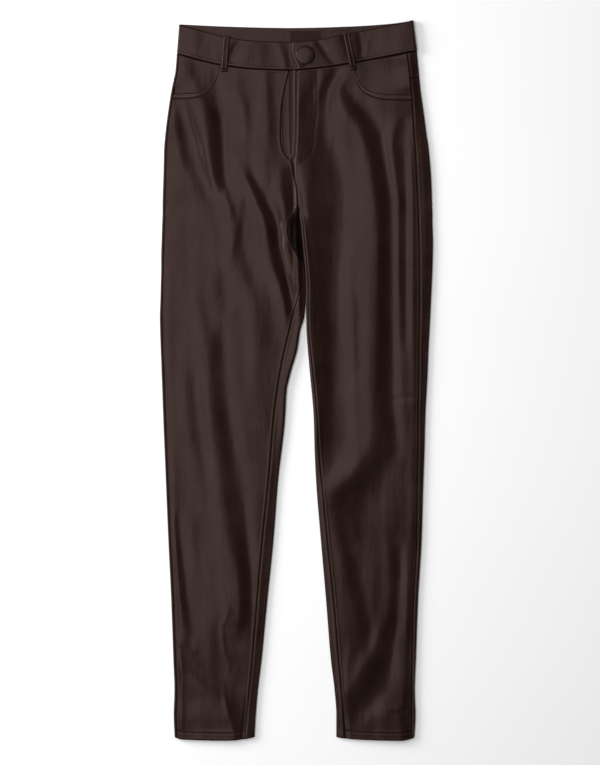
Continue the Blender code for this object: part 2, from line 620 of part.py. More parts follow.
def add_fly_shield(material):
    """The shield behind the fly: it shows in the gap between the two fronts."""
    half_width = 17.0
    y = np.linspace(300.0, 429.5, 9)[:, None]
    centre = mix(-4.0, -6.0, ease((y - 300.0) / 60.0))
    x = centre + half_width * np.linspace(-1.0, 1.0, 7)
    y = np.broadcast_to(y, x.shape)
    outside = np.dstack([x, y, open_height(x, y) - LAYER_DROP])
    inside = outside - FACING_WALL * top_normal(LEFT, x, y)
    return add_wall("fly_shield", outside, inside, material)


def add_zip(material):
    """The closed zip: a narrow raised strip beside the edge of the left front."""
    y = np.linspace(310.0, 430.0, 9)[:, None]
    x = smooth_line(ZIP_LINE, y) + ZIP_WIDTH * np.linspace(-0.5, 0.5, 4)
    y = np.broadcast_to(y, x.shape)
    arch = np.array([0.0, 0.35, 0.35, 0.0])
    shield_top = open_height(x, y) - LAYER_DROP
    outside = np.dstack([x, y, shield_top + 0.4 + ZIP_WALL + arch])
    inside = np.dstack([x, y, shield_top + 0.4])
    return add_wall("zip", outside, inside, material)


def add_belt_loop(side, upper_end, lower_end, material):
    """A loop over the band: it turns over the band's top edge and is sewn below the waist seam."""
    sign = OUTWARD[side]
    across = LOOP_WIDTH * np.linspace(-0.5, 0.5, 4)
    v = np.array([0.0, 0.12, 0.2, 0.3, 0.6, 0.85, 0.94, 1.0])[:, None]
    x = mix(lower_end[0], upper_end[0], v) + across
    y = np.broadcast_to(mix(lower_end[1], upper_end[1], v), x.shape)
    seam_y = smooth_line(FRONT_WAIST_SEAM, x)
    band_z = front_band_top(side, x)
    panel_z = top_height(side, x, y)
    under = mix(panel_z, band_z, ease((y - seam_y + 6.0) / 5.0)) + LOOP_CLEARANCE
    bow = 0.8 * np.sin(math.pi * np.clip((v - 0.1) / 0.85, 0.0, 1.0))
    under = under + bow
    outside = np.dstack([x, y, under + LOOP_WALL])
    inside = np.dstack([x, y, under])
    return add_wall("belt_loop_" + side, outside, inside, material)


def add_button(material):
    """A domed covered button on the band's lap, turned about its own axis."""
    profile = (
        (0.0, 0.0), (0.72, 0.0), (0.93, 0.16), (1.0, 0.38), (0.985, 0.56), (0.9, 0.74), (0.72, 0.88), (0.45, 0.97),
        (0.0, 1.0),
    )
    base = OVERLAP_TOP + BUTTON_FOOT
    shape = bmesh.new()
    ring = [
        shape.verts.new((BUTTON_RADIUS * r * MM, 0.0, (base + BUTTON_HEIGHT * h) * MM)) for r, h in profile
    ]
    edges = [shape.edges.new(pair) for pair in zip(ring, ring[1:])]
    bmesh.ops.spin(
        shape, geom=ring + edges, cent=(0.0, 0.0, 0.0), axis=(0.0, 0.0, 1.0), angle=math.tau, steps=28, use_merge=True
    )
    bmesh.ops.remove_doubles(shape, verts=shape.verts, dist=0.00001)
    mesh = bpy.data.meshes.new("button")
    shape.to_mesh(mesh)
    shape.free()
    piece = add_object("button", mesh, material)
    piece.location = (BUTTON_CENTRE[0] * MM, BUTTON_CENTRE[1] * MM, 0.0)
    return piece


def add_label(material):
    """The bare woven label on the inside of the band's back."""
    x = np.linspace(-9.5, 33.5, 3)
    y = np.linspace(466.0, 485.5, 3)
    x, y = np.meshgrid(x, y)
    under = np.full_like(x, BAND_WALL + SEAM_GAP)
    return add_wall("label", np.dstack([x, y, under + LABEL_WALL]), np.dstack([x, y, under]), material)


# ---------------------------------------------------------------- the leggings
def main():
    for existing in list(bpy.data.objects):
        bpy.data.objects.remove(existing, do_unlink=True)
    cloth = principled("faux leather", (0.034, 0.020, 0.018), 0.45)
    knit = principled("knitted backing", (0.020, 0.013, 0.012), 0.85)
    brass = principled("zip coil", (0.030, 0.018, 0.016), 0.40)
    woven = principled("woven label", (0.012, 0.010, 0.010), 0.75)
    for side in (RIGHT, LEFT):
        add_front(side, cloth)
        add_back(side, cloth)
        add_yoke(side, cloth)
        add_pocket_facing(side, cloth)
    add_waistband(cloth)
    add_fly_shield(knit)
    add_zip(brass)
    add_belt_loop(RIGHT, (-96.5, 478.8), (-100.5, 428.5), cloth)
    add_belt_loop(LEFT, (69.0, 483.3), (79.5, 431.0), cloth)
    add_button(cloth)
    add_label(woven)


main()
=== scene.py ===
# %% [markdown]
# # Faux leather leggings, laid flat
#
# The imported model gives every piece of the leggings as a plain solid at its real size.
# This lesson dresses them: thin shells of coated cloth with their folds, seams, stitches and grain.
# We load the model first, because every piece that follows is placed in its frame:
# +X is the wearer's left, +Y runs from the hems to the waist, and +Z is up from the table.

import math

import bpy
import numpy as np
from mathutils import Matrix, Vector


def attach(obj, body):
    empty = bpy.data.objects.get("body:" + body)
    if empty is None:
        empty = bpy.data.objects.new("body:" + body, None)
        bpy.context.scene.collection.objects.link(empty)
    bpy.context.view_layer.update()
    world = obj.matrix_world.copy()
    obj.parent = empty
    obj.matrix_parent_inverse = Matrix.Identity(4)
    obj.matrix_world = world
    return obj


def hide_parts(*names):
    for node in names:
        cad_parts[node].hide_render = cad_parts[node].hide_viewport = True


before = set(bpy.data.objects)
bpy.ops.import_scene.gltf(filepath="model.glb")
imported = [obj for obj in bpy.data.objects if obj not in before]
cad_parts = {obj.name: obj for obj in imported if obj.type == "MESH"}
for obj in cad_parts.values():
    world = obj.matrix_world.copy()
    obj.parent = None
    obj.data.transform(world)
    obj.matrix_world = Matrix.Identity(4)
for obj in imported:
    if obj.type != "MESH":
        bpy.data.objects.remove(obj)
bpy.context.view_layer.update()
MM = 0.001
print("nodes:", ", ".join(sorted(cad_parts)))


# %% [markdown]
# ## Camera
#
# The photograph looks straight down. Its 765 rows cover 1062 mm, and a long lens from about 3 m
# keeps the edges of the cloth square to the view, as a product camera on a boom would.

# %% Make the camera
IMAGE_HEIGHT_MM = 1062.5
LENS_MM = 100.0
SENSOR_MM = 36.0
AIM_X_MM = 5.0
AIM_Y_MM = -2.9
CLOTH_TOP_MM = 4.0

camera = bpy.data.objects.new("camera", bpy.data.cameras.new("camera"))
camera.data.lens = LENS_MM
camera.data.sensor_width = SENSOR_MM
camera_height = IMAGE_HEIGHT_MM * LENS_MM / SENSOR_MM + CLOTH_TOP_MM
camera.location = (AIM_X_MM * MM, AIM_Y_MM * MM, camera_height * MM)
camera.data.clip_end = 20.0
bpy.context.scene.collection.objects.link(camera)
bpy.context.scene.camera = camera
print("camera height:", round(camera_height), "mm")


# %% [markdown]
# ## Curves from short tables
#
# A pattern maker draws a leg from a few widths. We do the same: each table has a row for each
# level of the leg, and one smooth curve runs through the rows. A cubic that never overshoots
# keeps the narrowest and widest places on the rows themselves.

# %% Curve helpers
def smooth_line(points, at):
    """A smooth curve through points (u, v) that never overshoots them, read at u."""
    table = np.array(sorted(points), dtype=float)
    u = table[:, 0]
    v = table[:, 1]
    step = np.diff(u)
    slope = np.diff(v) / step
    tangent = np.zeros_like(v)
    tangent[0] = slope[0]
    tangent[-1] = slope[-1]
    for k in range(1, len(u) - 1):
        if slope[k - 1] * slope[k] > 0.0:
            before = 2.0 * step[k] + step[k - 1]
            after = step[k] + 2.0 * step[k - 1]
            tangent[k] = (before + after) / (before / slope[k - 1] + after / slope[k])
    at = np.clip(np.asarray(at, dtype=float), u[0], u[-1])
    k = np.clip(np.searchsorted(u, at, side="right") - 1, 0, len(step) - 1)
    t = (at - u[k]) / step[k]
    start = (1.0 + 2.0 * t) * (1.0 - t) ** 2 * v[k] + t * (1.0 - t) ** 2 * step[k] * tangent[k]
    end = t ** 2 * (3.0 - 2.0 * t) * v[k + 1] + t ** 2 * (t - 1.0) * step[k] * tangent[k + 1]
    return start + end


def ease(t):
    """0 below 0, 1 above 1, and smooth between."""
    t = np.clip(t, 0.0, 1.0)
    return t * t * (3.0 - 2.0 * t)


def mix(a, b, t):
    """The value a share t of the way from a to b."""
    return a + (b - a) * t


def bump_at(distance, width):
    """A soft bump: 1 at no distance, nearly 0 at twice its width."""
    return np.exp(-((distance / width) ** 2))


def graded(count, share=0.75):
    """Fractions from 0 to 1 that lie closer together at both ends, where a cloth edge rolls."""
    t = np.linspace(0.0, 1.0, count + 1)
    return mix(t, 0.5 - 0.5 * np.cos(math.pi * t), share)


def graded_in(count, share):
    """Fractions from 0 to below 1 that lie closer together near 0 alone."""
    return graded(count * 2, share)[:count] * 2.0


def graded_out(count, share):
    """Fractions from 0 to 1 that lie closer together near 1 alone."""
    return (graded(count * 2, share)[count:] - 0.5) * 2.0


def along(points, fractions):
    """Points at fractions of the length of a polyline."""
    points = np.array(points, dtype=float)
    lengths = np.linalg.norm(np.diff(points, axis=0), axis=1)
    travelled = np.concatenate(([0.0], np.cumsum(lengths))) / lengths.sum()
    columns = [np.interp(fractions, travelled, column) for column in points.T]
    return np.stack(columns, axis=-1)


# %% [markdown]
# ## The sizes of the leggings
#
# These are the sizes that the solids were made from, in millimetres, with the inner edges of the
# thighs as full or as flat as the cloth lies. The sections give, for each level, where a leg's
# outer edge, outseam, front's inner edge and inner edge run.

# %% Sizes and leg sections
RIGHT = "right"
LEFT = "left"
OUTWARD = {RIGHT: -1.0, LEFT: 1.0}

HALF_LENGTH = 500.0
WALL = 1.1
SEAM_GAP = 0.16
LEG_GAP = -0.24
LAYER_DROP = 1.9
EDGE_HEIGHT = 4.6
INNER_EDGE_HEIGHTS = {
    RIGHT: ((-150, 4.6), (-70, 5.8), (0, 6.8), (60, 6.8), (105, 5.0), (150, 2.8), (175, 2.6)),
    LEFT: ((-130, 4.6), (-95, 6.7), (-60, 8.8)),
}
HEM_DEPTH = 13.0
CROTCH_Y = 243.5
ROUND_START = math.radians(95.0)
LIP = math.radians(20.0)
LIP_LENGTH = 20.0
LIP_SPREAD = 25.0
ARC_WEIGHT = 3.0
FLY_TOP_Y = 431.0

SECTION_COLUMNS = ("y", "outer", "outseam", "front_edge", "inner")
SECTIONS = {
    RIGHT: (
        (456.0, -166.0, -163.0, -9.5, 2.6),
        (431.0, -168.0, -164.8, -10.5, 2.6),
        (404.0, -173.5, -170.0, -16.0, 2.6),
        (375.5, -178.0, -175.0, -20.5, 2.6),
        (341.0, -182.3, -179.0, -21.5, 2.6),
        (320.0, -184.0, -180.5, -19.0, 2.6),
        (311.5, -184.2, -180.8, -14.5, 2.6),
        (300.5, -184.4, -181.2, -5.4, 2.6),
        (285.5, -184.8, -181.6, -3.5, 2.6),
        (264.5, -185.5, -182.0, 0.1, 2.6),
        (243.5, -186.0, -182.5, 1.5, 2.6),
        (232.5, -186.0, -183.0, -2.5, 4.2),
        (220.0, -186.5, -183.0, -10.5, 5.5),
        (206.0, -187.0, -183.5, -11.5, 7.0),
        (189.5, -187.5, -184.0, -7.0, 8.5),
        (173.0, -188.0, -184.5, 1.5, 10.0),
        (153.5, -188.0, -185.0, 8.0, 12.0),
        (132.5, -188.5, -185.5, 7.0, 12.5),
        (111.5, -189.0, -186.0, 1.0, 12.5),
        (89.5, -189.8, -186.5, -5.0, 11.0),
        (70.0, -189.5, -186.0, -9.5, 5.5),
        (42.0, -188.5, -185.5, -16.5, 1.0),
        (14.5, -187.5, -184.0, -22.0, -7.0),
        (-13.5, -186.5, -183.0, -26.5, -13.5),
        (-55.0, -185.0, -181.5, -31.5, -16.0),
        (-138.5, -181.5, -178.5, -38.5, -25.5),
        (-221.5, -178.0, -175.0, -47.0, -32.0),
        (-305.0, -174.0, -170.5, -54.5, -40.5),
        (-388.5, -171.0, -167.5, -61.0, -48.5),
        (-430.0, -169.5, -166.0, -65.0, -53.5),
        (-464.5, -170.5, -167.0, -69.0, -56.5),
        (-500.0, -169.0, -165.8, -72.0, -58.5),
    ),
    LEFT: (
        (456.0, 167.5, 154.0, 1.6, 2.6),
        (431.0, 169.8, 157.3, 1.4, 2.6),
        (404.0, 172.5, 160.0, 1.0, 2.6),
        (375.5, 176.5, 162.0, 0.8, 2.6),
        (348.0, 180.0, 163.5, 0.5, 2.6),
        (320.0, 184.0, 165.5, -0.8, 2.6),
        (304.5, 185.5, 166.4, -4.2, 2.6),
        (285.5, 187.0, 167.4, -3.1, 2.6),
        (264.5, 188.0, 168.5, 0.6, 2.6),
        (243.5, 188.5, 169.5, 2.1, 2.6),
        (232.5, 189.0, 170.0, 5.6, 4.2),
        (220.0, 189.0, 170.0, 8.5, 5.5),
        (206.0, 189.5, 170.5, 10.0, 7.0),
        (189.5, 189.8, 171.0, 11.7, 8.5),
        (153.5, 189.0, 171.5, 15.0, 12.0),
        (132.5, 188.0, 171.5, 16.5, 12.5),
        (89.5, 186.0, 171.5, 16.5, 13.5),
        (70.0, 185.0, 171.0, 17.0, 14.0),
        (42.0, 183.5, 170.5, 19.5, 15.9),
        (14.5, 182.5, 170.5, 22.5, 18.4),
        (-55.0, 179.0, 169.5, 29.0, 24.2),
        (-96.5, 178.0, 169.5, 31.5, 25.3),
        (-138.5, 176.5, 168.5, 35.0, 27.3),
        (-221.5, 174.0, 167.5, 43.0, 34.0),
        (-305.0, 169.0, 163.0, 52.0, 41.2),
        (-388.5, 166.0, 161.0, 59.0, 48.0),
        (-430.0, 164.5, 160.5, 62.5, 53.0),
        (-464.5, 165.5, 160.5, 65.5, 55.5),
        (-500.0, 163.5, 159.5, 68.5, 55.5),
    ),
}
HEMS = {
    RIGHT: (
        (-170, -495.5), (-160, -498.5), (-134, -499.5), (-99, -500), (-75, -498.5), (-58, -495.5),
    ),
    LEFT: ((55, -495.5), (66, -497), (88, -498.8), (144, -500), (156, -498.8), (165, -495.5)),
}
FRONT_WAIST_SEAM = (
    (-166, 453.5), (-134, 445), (-106, 438.5), (-57.5, 432.5),
    (-9, 431), (46.5, 436), (102, 445.5), (167.5, 457.5),
)
BACK_WAIST_SEAM = ((-166, 456.5), (-92, 452), (-9, 449), (74.5, 452.5), (167.5, 460.5))
FRONT_BAND_TOP = (
    (-163, 493.5), (-134, 486.5), (-98, 477), (-50.5, 471), (-5, 470),
    (33, 473.5), (67.5, 481), (137, 494), (162.5, 500),
)
BACK_BAND_TOP = (
    (-163, 494.9), (-92, 491.6), (-9, 489.8), (74.5, 491.9), (130, 495.6), (162.5, 500),
)
YOKE_SEAM = ((-167, 418), (-85, 404), (2.6, 393.5), (85, 406), (170, 421))
UNDER_SEAM_DROP = 3.0
POCKET_MOUTHS = {
    RIGHT: (
        (-170.8, 398.4), (-148, 398.5), (-136.5, 399.7), (-127, 402.7), (-120.5, 407.5),
        (-115, 414.5), (-111, 423), (-108.5, 431), (-107.5, 438.5),
    ),
    LEFT: (
        (160, 396.4), (137, 396.5), (123, 397), (112, 398.5), (101, 402),
        (93, 407), (87, 413.5), (83, 421.5), (80, 431), (79, 441.5),
    ),
}
BAND_LAP_END = ((470, -6.5), (459, -7), (448, -4.5), (439.5, -1), (431, 2))


def section(side, column, y):
    """Where a named line of a leg is, at a level."""
    k = SECTION_COLUMNS.index(column)
    x = smooth_line([(row[0], row[k]) for row in SECTIONS[side]], y)
    if column == "inner":
        x = x + OUTWARD[side] * LEG_GAP / 2.0
    return x


for side in (RIGHT, LEFT):
    hip = abs(float(section(side, "outer", 200.0) - section(side, "inner", 200.0)))
    hem = abs(float(section(side, "outer", -490.0) - section(side, "inner", -490.0)))
    print(side, "leg:", round(hip), "mm at the hip,", round(hem), "mm at the hem")


# %% [markdown]
# ## Folds
#
# Coated cloth is too stiff to crumple: it lies in long soft ridges and troughs that run down
# the legs, with a few that cross them at the knee and ankle. Each one is listed on its own. A row
# of its table says, at one level of the leg, where its crest is, how high it stands (a trough's
# height is negative) and how wide its two flanks are. Steep on one side and slow on the other
# is what makes a fold look like cloth and not like a wave.

# %% Fold tables
LONG_FOLDS = {
    "right pocket ridge": (
        (430, -150, 0.9, 10, 10), (405, -141, 2.0, 14, 13), (380, -133, 3.2, 19, 15),
        (350, -127, 3.5, 17, 15), (320, -124, 3.3, 12, 14), (290, -121, 2.8, 11, 12),
        (268, -114, 1.4, 10, 9),
    ),
    "right pocket trough": (
        (420, -112, -1.1, 8, 7), (390, -106, -2.4, 10, 8), (350, -102, -3.0, 11, 8),
        (310, -101, -2.4, 10, 8), (280, -98, -2.0, 9, 7), (262, -94, -1.0, 8, 6),
    ),
    "right side trough": (
        (402, -164, -0.9, 12, 8), (383, -159, -2.2, 14, 8), (355, -149, -2.8, 18, 8),
        (327, -141, -2.8, 20, 8), (299, -132, -2.4, 18, 8), (271, -123, -2.0, 15, 8),
        (244, -113, -1.2, 13, 9), (216, -104, -0.7, 12, 10), (190, -96, -0.4, 12, 10),
    ),
    "right thigh ridge": (
        (300, -80, 0.6, 9, 9), (286, -74, 1.6, 9, 9), (271, -66, 2.8, 9, 9), (258, -60, 3.0, 9, 9),
        (244, -55, 3.0, 9, 10), (230, -48, 2.9, 11, 11), (216, -43, 3.0, 13, 11),
        (200, -40, 3.1, 14, 10), (188, -38, 3.1, 15, 9), (174, -36, 3.0, 15, 9),
        (160, -34, 3.0, 14, 9), (146, -29, 2.8, 12, 9), (133, -24, 2.8, 12, 8),
        (119, -20, 2.4, 11, 8), (105, -17, 2.0, 10, 7), (85, -14, 1.2, 9, 6), (70, -13, 0.5, 8, 6),
    ),
    "right fork trough": (
        (282, -52, -0.6, 8, 9), (271, -49, -1.2, 8, 10), (258, -44, -1.8, 9, 9),
        (244, -39, -2.4, 9, 9), (230, -31, -2.7, 9, 7), (216, -26, -2.9, 10, 6),
        (200, -25, -2.9, 9, 6), (188, -24, -2.9, 9, 5), (174, -20, -2.9, 9, 5),
        (160, -16, -2.9, 9, 4), (146, -14, -2.5, 8, 4), (133, -11, -2.3, 8, 4),
        (119, -8, -1.8, 8, 4), (105, -5, -1.2, 7, 4),
    ),
    "right fork ridge": (
        (285, -22, 1.0, 9, 9), (271, -22, 1.8, 9, 10), (258, -21, 1.9, 9, 9), (244, -18, 2.0, 9, 8),
        (230, -17, 2.0, 7, 8), (216, -17, 2.0, 5, 9), (200, -14, 2.0, 4, 9), (188, -14, 2.0, 4, 10),
        (174, -12, 2.0, 4, 10), (160, -10, 1.8, 4, 10), (146, -6, 1.2, 4, 9), (133, -2, 0.8, 4, 8),
    ),
    "crotch hollow": (
        (285, -1, -1.5, 8, 6), (250, 3, -2.6, 9, 6), (235, 4, -2.8, 10, 6), (206, 7, -2.8, 13, 8),
        (190, 9, -2.6, 13, 8), (168, 12, -2.2, 12, 8), (150, 14, -1.4, 9, 8),
    ),
    "right fly swell": (
        (428, -44, 1.2, 14, 9), (390, -42, 1.4, 13, 8), (350, -40, 1.0, 12, 9),
        (330, -38, 0.5, 10, 8),
    ),
    "right front swell": (
        (425, -84, 0.8, 9, 8), (405, -83, 1.1, 9, 9), (380, -76, 1.3, 10, 9),
        (358, -72, 1.0, 10, 9), (340, -70, 0.5, 9, 9),
    ),
    "right inner ridge": (
        (255, -100, 0.7, 10, 9), (215, -92, 1.2, 16, 12), (180, -88, 1.3, 18, 13),
        (150, -79, 1.3, 18, 14), (120, -68, 1.3, 18, 14), (90, -58, 1.2, 18, 14),
        (50, -53, 1.0, 18, 14), (0, -50, 0.7, 16, 12), (-60, -46, 0.6, 14, 10),
    ),
    "right inner trough": (
        (230, -80, -0.6, 9, 8), (200, -76, -0.6, 10, 9), (170, -71, -0.5, 12, 10),
        (140, -62, -0.4, 13, 10),
    ),
    "right thigh pinch": ((252, -97, 0.8, 5, 7), (236, -92, 0.7, 6, 8), (222, -90, 0.3, 6, 8)),
    "right thigh dimple": (
        (140, -98, -0.6, 12, 12), (122, -97, -0.8, 14, 16), (105, -94, -0.4, 12, 12),
    ),
    "right knee ridge": (
        (110, -140, 0.6, 14, 12), (70, -131, 1.3, 14, 14), (30, -124, 1.7, 14, 16),
        (0, -122, 2.0, 13, 16), (-30, -120, 2.1, 12, 16), (-60, -118, 2.1, 11, 17),
        (-100, -115, 2.0, 10, 20), (-150, -110, 2.1, 12, 22), (-200, -100, 2.4, 18, 20),
        (-250, -88, 2.7, 26, 15), (-290, -82, 2.9, 30, 11), (-325, -80, 2.5, 30, 10),
        (-345, -84, 1.2, 22, 10),
    ),
    "right knee trough": (
        (60, -102, -0.8, 12, 10), (0, -101, -1.3, 13, 11), (-60, -93, -1.6, 14, 12),
        (-120, -82, -1.5, 15, 12), (-180, -74, -1.5, 15, 10), (-240, -66, -1.6, 12, 8),
        (-290, -62, -1.6, 9, 7), (-330, -62, -1.0, 9, 7),
    ),
    "right shin ridge": (
        (0, -156, 0.4, 14, 12), (-50, -151, 0.6, 14, 13), (-100, -144, 0.7, 14, 13),
        (-150, -134, 0.7, 14, 13), (-185, -127, 0.4, 14, 12),
    ),
    "right shin trough": (
        (20, -146, -0.3, 11, 10), (-20, -140, -0.6, 12, 10), (-60, -133, -0.5, 12, 10),
        (-100, -125, -0.5, 11, 10), (-150, -116, -0.4, 10, 9), (-180, -110, -0.2, 9, 8),
    ),
    "right outer calf ridge": (
        (-190, -174, 0.5, 5, 6), (-230, -170, 0.9, 5, 7), (-280, -165, 1.0, 5, 7),
        (-330, -159, 0.9, 5, 7), (-350, -156, 0.4, 5, 7),
    ),
    "right outer calf trough": (
        (-200, -163, -0.5, 6, 8), (-240, -158, -1.0, 7, 10), (-300, -151, -1.1, 7, 12),
        (-345, -145, -0.6, 7, 10),
    ),
    "right ankle ridge": (
        (-388, -168, 0.6, 10, 10), (-405, -153, 1.3, 18, 12), (-420, -137, 1.6, 24, 13),
        (-432, -121, 1.6, 26, 14), (-445, -104, 1.5, 26, 13), (-465, -93, 1.1, 24, 10),
        (-485, -88, 0.6, 22, 8),
    ),
    "right ankle trough": (
        (-372, -150, -0.5, 10, 10), (-390, -130, -0.7, 12, 12), (-408, -108, -0.6, 13, 14),
        (-425, -90, -0.5, 12, 12), (-450, -78, -0.4, 9, 9), (-475, -76, -0.3, 8, 8),
    ),
    "left fly ridge": (
        (428, 6, 0.6, 5, 9), (400, 4, 1.6, 4, 10), (370, 3, 2.2, 4, 11), (335, 2, 2.6, 3.5, 15),
        (300, 0.5, 3.2, 3, 22), (250, 1, 3.6, 3, 30), (200, 2, 3.8, 4, 30), (150, 4, 3.9, 4.5, 28),
        (100, 7, 3.9, 5, 27), (50, 13, 3.8, 6, 23), (0, 20, 3.4, 7, 20), (-40, 28, 2.3, 7, 17),
        (-80, 35, 1.0, 8, 12),
    ),
    "left front trough": (
        (431, 57, -1.4, 10, 10), (423, 54, -2.2, 10, 9), (414, 49.5, -2.6, 10, 9),
        (406, 45.5, -2.7, 10, 9), (398, 44, -2.9, 10, 9), (389, 43, -2.9, 11, 9),
        (380, 41, -3.0, 12, 9), (350, 42, -3.2, 14, 10), (320, 50, -3.0, 16, 13),
        (290, 58, -3.0, 20, 13), (271, 62, -3.1, 22, 11), (250, 63, -3.3, 24, 11),
        (200, 60, -3.5, 22, 12), (150, 56, -3.5, 20, 12), (100, 54, -3.4, 18, 12),
        (50, 56, -3.2, 16, 14), (0, 55, -2.9, 14, 18), (-40, 54, -2.3, 14, 20),
        (-80, 56, -2.1, 16, 20), (-120, 54, -1.7, 16, 18),
    ),
    "left thigh ridge": (
        (408, 54, 0.5, 12, 12), (395, 60, 1.2, 12, 14), (383, 65, 2.0, 13, 16),
        (365, 76, 2.4, 14, 19), (352, 85, 2.6, 16, 19), (340, 91, 2.8, 18, 17),
        (327, 95, 2.9, 18, 14), (300, 101, 3.0, 20, 12), (280, 103, 3.0, 20, 12),
        (255, 107, 3.0, 22, 13), (235, 110, 3.0, 24, 12), (215, 111, 3.0, 24, 12),
        (195, 112, 3.0, 24, 11), (170, 111.5, 3.0, 24, 11), (140, 111, 3.0, 24, 11),
        (100, 110, 3.0, 24, 11), (50, 109.5, 3.0, 24, 12), (0, 108.5, 2.9, 24, 13),
        (-40, 108, 2.6, 24, 14), (-70, 108, 2.8, 26, 17), (-92, 103, 3.2, 28, 20),
        (-108, 93, 3.4, 28, 23), (-122, 82, 3.4, 28, 25), (-136, 70, 3.4, 26, 25),
        (-150, 58, 2.8, 22, 24), (-164, 48, 1.4, 16, 20),
    ),
    "left thigh trough": (
        (400, 74, -1.0, 10, 12), (383, 90, -1.8, 12, 14), (365, 105, -1.9, 14, 12),
        (350, 112, -1.9, 14, 10), (335, 117, -2.1, 13, 9), (320, 120, -2.2, 13, 9),
        (300, 125, -2.2, 13, 8), (280, 129, -2.2, 13, 7), (250, 134, -2.2, 13, 6),
        (200, 134, -2.2, 12, 6), (150, 134, -2.2, 12, 6), (100, 134, -2.2, 13, 7),
        (50, 133, -2.2, 13, 8), (0, 131, -2.2, 13, 10), (-40, 133, -2.0, 13, 10),
        (-70, 136, -1.6, 12, 10), (-95, 138, -1.0, 12, 10),
    ),
    "left side ridge": (
        (431, 146, 2.0, 30, 40), (410, 144, 2.6, 30, 40), (392, 142, 1.9, 28, 36),
        (375, 140, 1.3, 22, 20), (358, 138, 1.1, 12, 9), (342, 133, 1.3, 9, 8),
        (327, 131, 1.3, 8, 7), (299, 133, 1.2, 7, 7), (271, 136, 1.0, 6, 7), (244, 137, 0.8, 6, 8),
        (216, 137, 0.7, 6, 8), (150, 137, 0.6, 6, 8), (100, 137, 0.6, 6, 8), (60, 138, 0.4, 6, 8),
    ),
    "left side trough": (
        (330, 147, -0.3, 9, 7), (300, 149, -0.7, 9, 6), (280, 150, -1.0, 8, 6),
        (240, 152, -1.1, 8, 5), (200, 152, -1.1, 8, 5), (150, 152, -1.0, 8, 5),
        (100, 152, -0.8, 8, 5), (60, 152, -0.4, 8, 5),
    ),
    "left outseam ridge": (
        (372, 158, 0.4, 8, 6), (350, 161, 0.9, 7, 5), (300, 160, 0.9, 5, 6), (250, 161, 0.9, 4, 6),
        (200, 161, 0.9, 4, 6), (150, 161, 0.9, 4, 6), (100, 161, 0.8, 5, 6), (50, 162, 0.8, 6, 6),
        (0, 163, 0.7, 7, 5), (-60, 163, 0.7, 8, 5), (-130, 162, 0.7, 8, 5), (-200, 161, 0.6, 7, 5),
        (-300, 156, 0.6, 5, 5), (-350, 154, 0.4, 5, 4),
    ),
    "left knee hollow": (
        (-105, 130, -0.8, 14, 14), (-125, 121, -1.7, 20, 18), (-145, 110, -2.5, 24, 24),
        (-165, 101, -2.8, 24, 28), (-185, 94, -2.6, 24, 30), (-205, 91, -2.0, 22, 30),
        (-230, 92, -1.4, 20, 28), (-255, 95, -0.6, 16, 24),
    ),
    "left shin ridge": (
        (-180, 50, 0.5, 8, 10), (-200, 52, 0.7, 9, 10), (-230, 58, 1.0, 11, 10),
        (-260, 66, 1.1, 12, 11), (-290, 72, 1.1, 14, 12), (-320, 77, 1.1, 14, 12),
        (-350, 77, 1.1, 12, 13), (-380, 75, 1.2, 9, 14), (-410, 71, 0.9, 8, 14),
    ),
    "left shin trough": (
        (-205, 67, -0.4, 8, 9), (-230, 75, -0.7, 9, 10), (-260, 84, -0.8, 9, 11),
        (-290, 91, -0.9, 10, 11), (-320, 97, -0.9, 10, 11), (-350, 101, -0.8, 9, 10),
        (-375, 103, -0.5, 9, 9),
    ),
    "left calf ridge": (
        (-215, 123, 0.4, 10, 8), (-240, 128, 0.7, 11, 8), (-270, 130, 0.8, 12, 8),
        (-300, 131, 0.8, 12, 8), (-330, 126, 0.8, 12, 9), (-350, 118, 1.2, 12, 12),
        (-370, 110, 1.7, 12, 16), (-390, 99, 2.0, 14, 19), (-410, 88, 2.1, 14, 19),
        (-430, 77, 1.7, 12, 17), (-445, 69, 0.8, 10, 14),
    ),
    "left calf trough": (
        (-240, 143, -0.6, 7, 7), (-270, 143, -0.9, 8, 7), (-300, 140, -0.9, 8, 7),
        (-330, 138, -1.0, 9, 7), (-360, 134, -1.6, 14, 7), (-390, 130, -2.4, 18, 9),
        (-415, 123, -2.6, 20, 14), (-435, 112, -2.6, 20, 18), (-452, 97, -1.8, 18, 18),
        (-465, 84, -1.0, 14, 16),
    ),
    "left outer calf ridge": (
        (-235, 153, 0.3, 7, 4), (-300, 152, 0.4, 8, 4), (-360, 151, 0.5, 8, 4),
        (-400, 150, 0.6, 9, 3), (-440, 148, 0.7, 9, 3), (-458, 147, 0.4, 8, 3),
    ),
    "left hem swell": ((-462, 138, 0.8, 40, 9), (-478, 144, 2.0, 46, 8), (-500, 146, 2.8, 50, 8)),
    "right ankle crinkle": (
        (-300, -101, 0.2, 3.5, 3.5), (-320, -95, 0.4, 3.5, 3.5), (-345, -103, 0.4, 4, 3.5),
        (-370, -101, 0.5, 4, 3.5), (-395, -94, 0.2, 3.5, 3.5),
    ),
    "right hem crinkle": (
        (-430, -101, 0.2, 4, 3), (-452, -97, 0.5, 4, 3), (-472, -91, 0.5, 4, 3),
        (-488, -86, 0.2, 4, 3),
    ),
    "right ankle outer ridge": (
        (-372, -168, 0.6, 4, 6), (-395, -165, 1.2, 4, 8), (-418, -164, 0.8, 4, 8),
        (-440, -166, 0.7, 4, 6), (-462, -165, 1.1, 4, 7), (-482, -164, 0.7, 4, 6),
    ),
    "left inner arc ridge": (
        (385, 60, 0.2, 9, 7), (365, 66, 0.4, 9, 8), (340, 70, 0.4, 10, 8), (315, 73, 0.4, 10, 8),
        (290, 76, 0.3, 10, 8), (270, 78, 0.1, 9, 8),
    ),
    "left inner arc trough": (
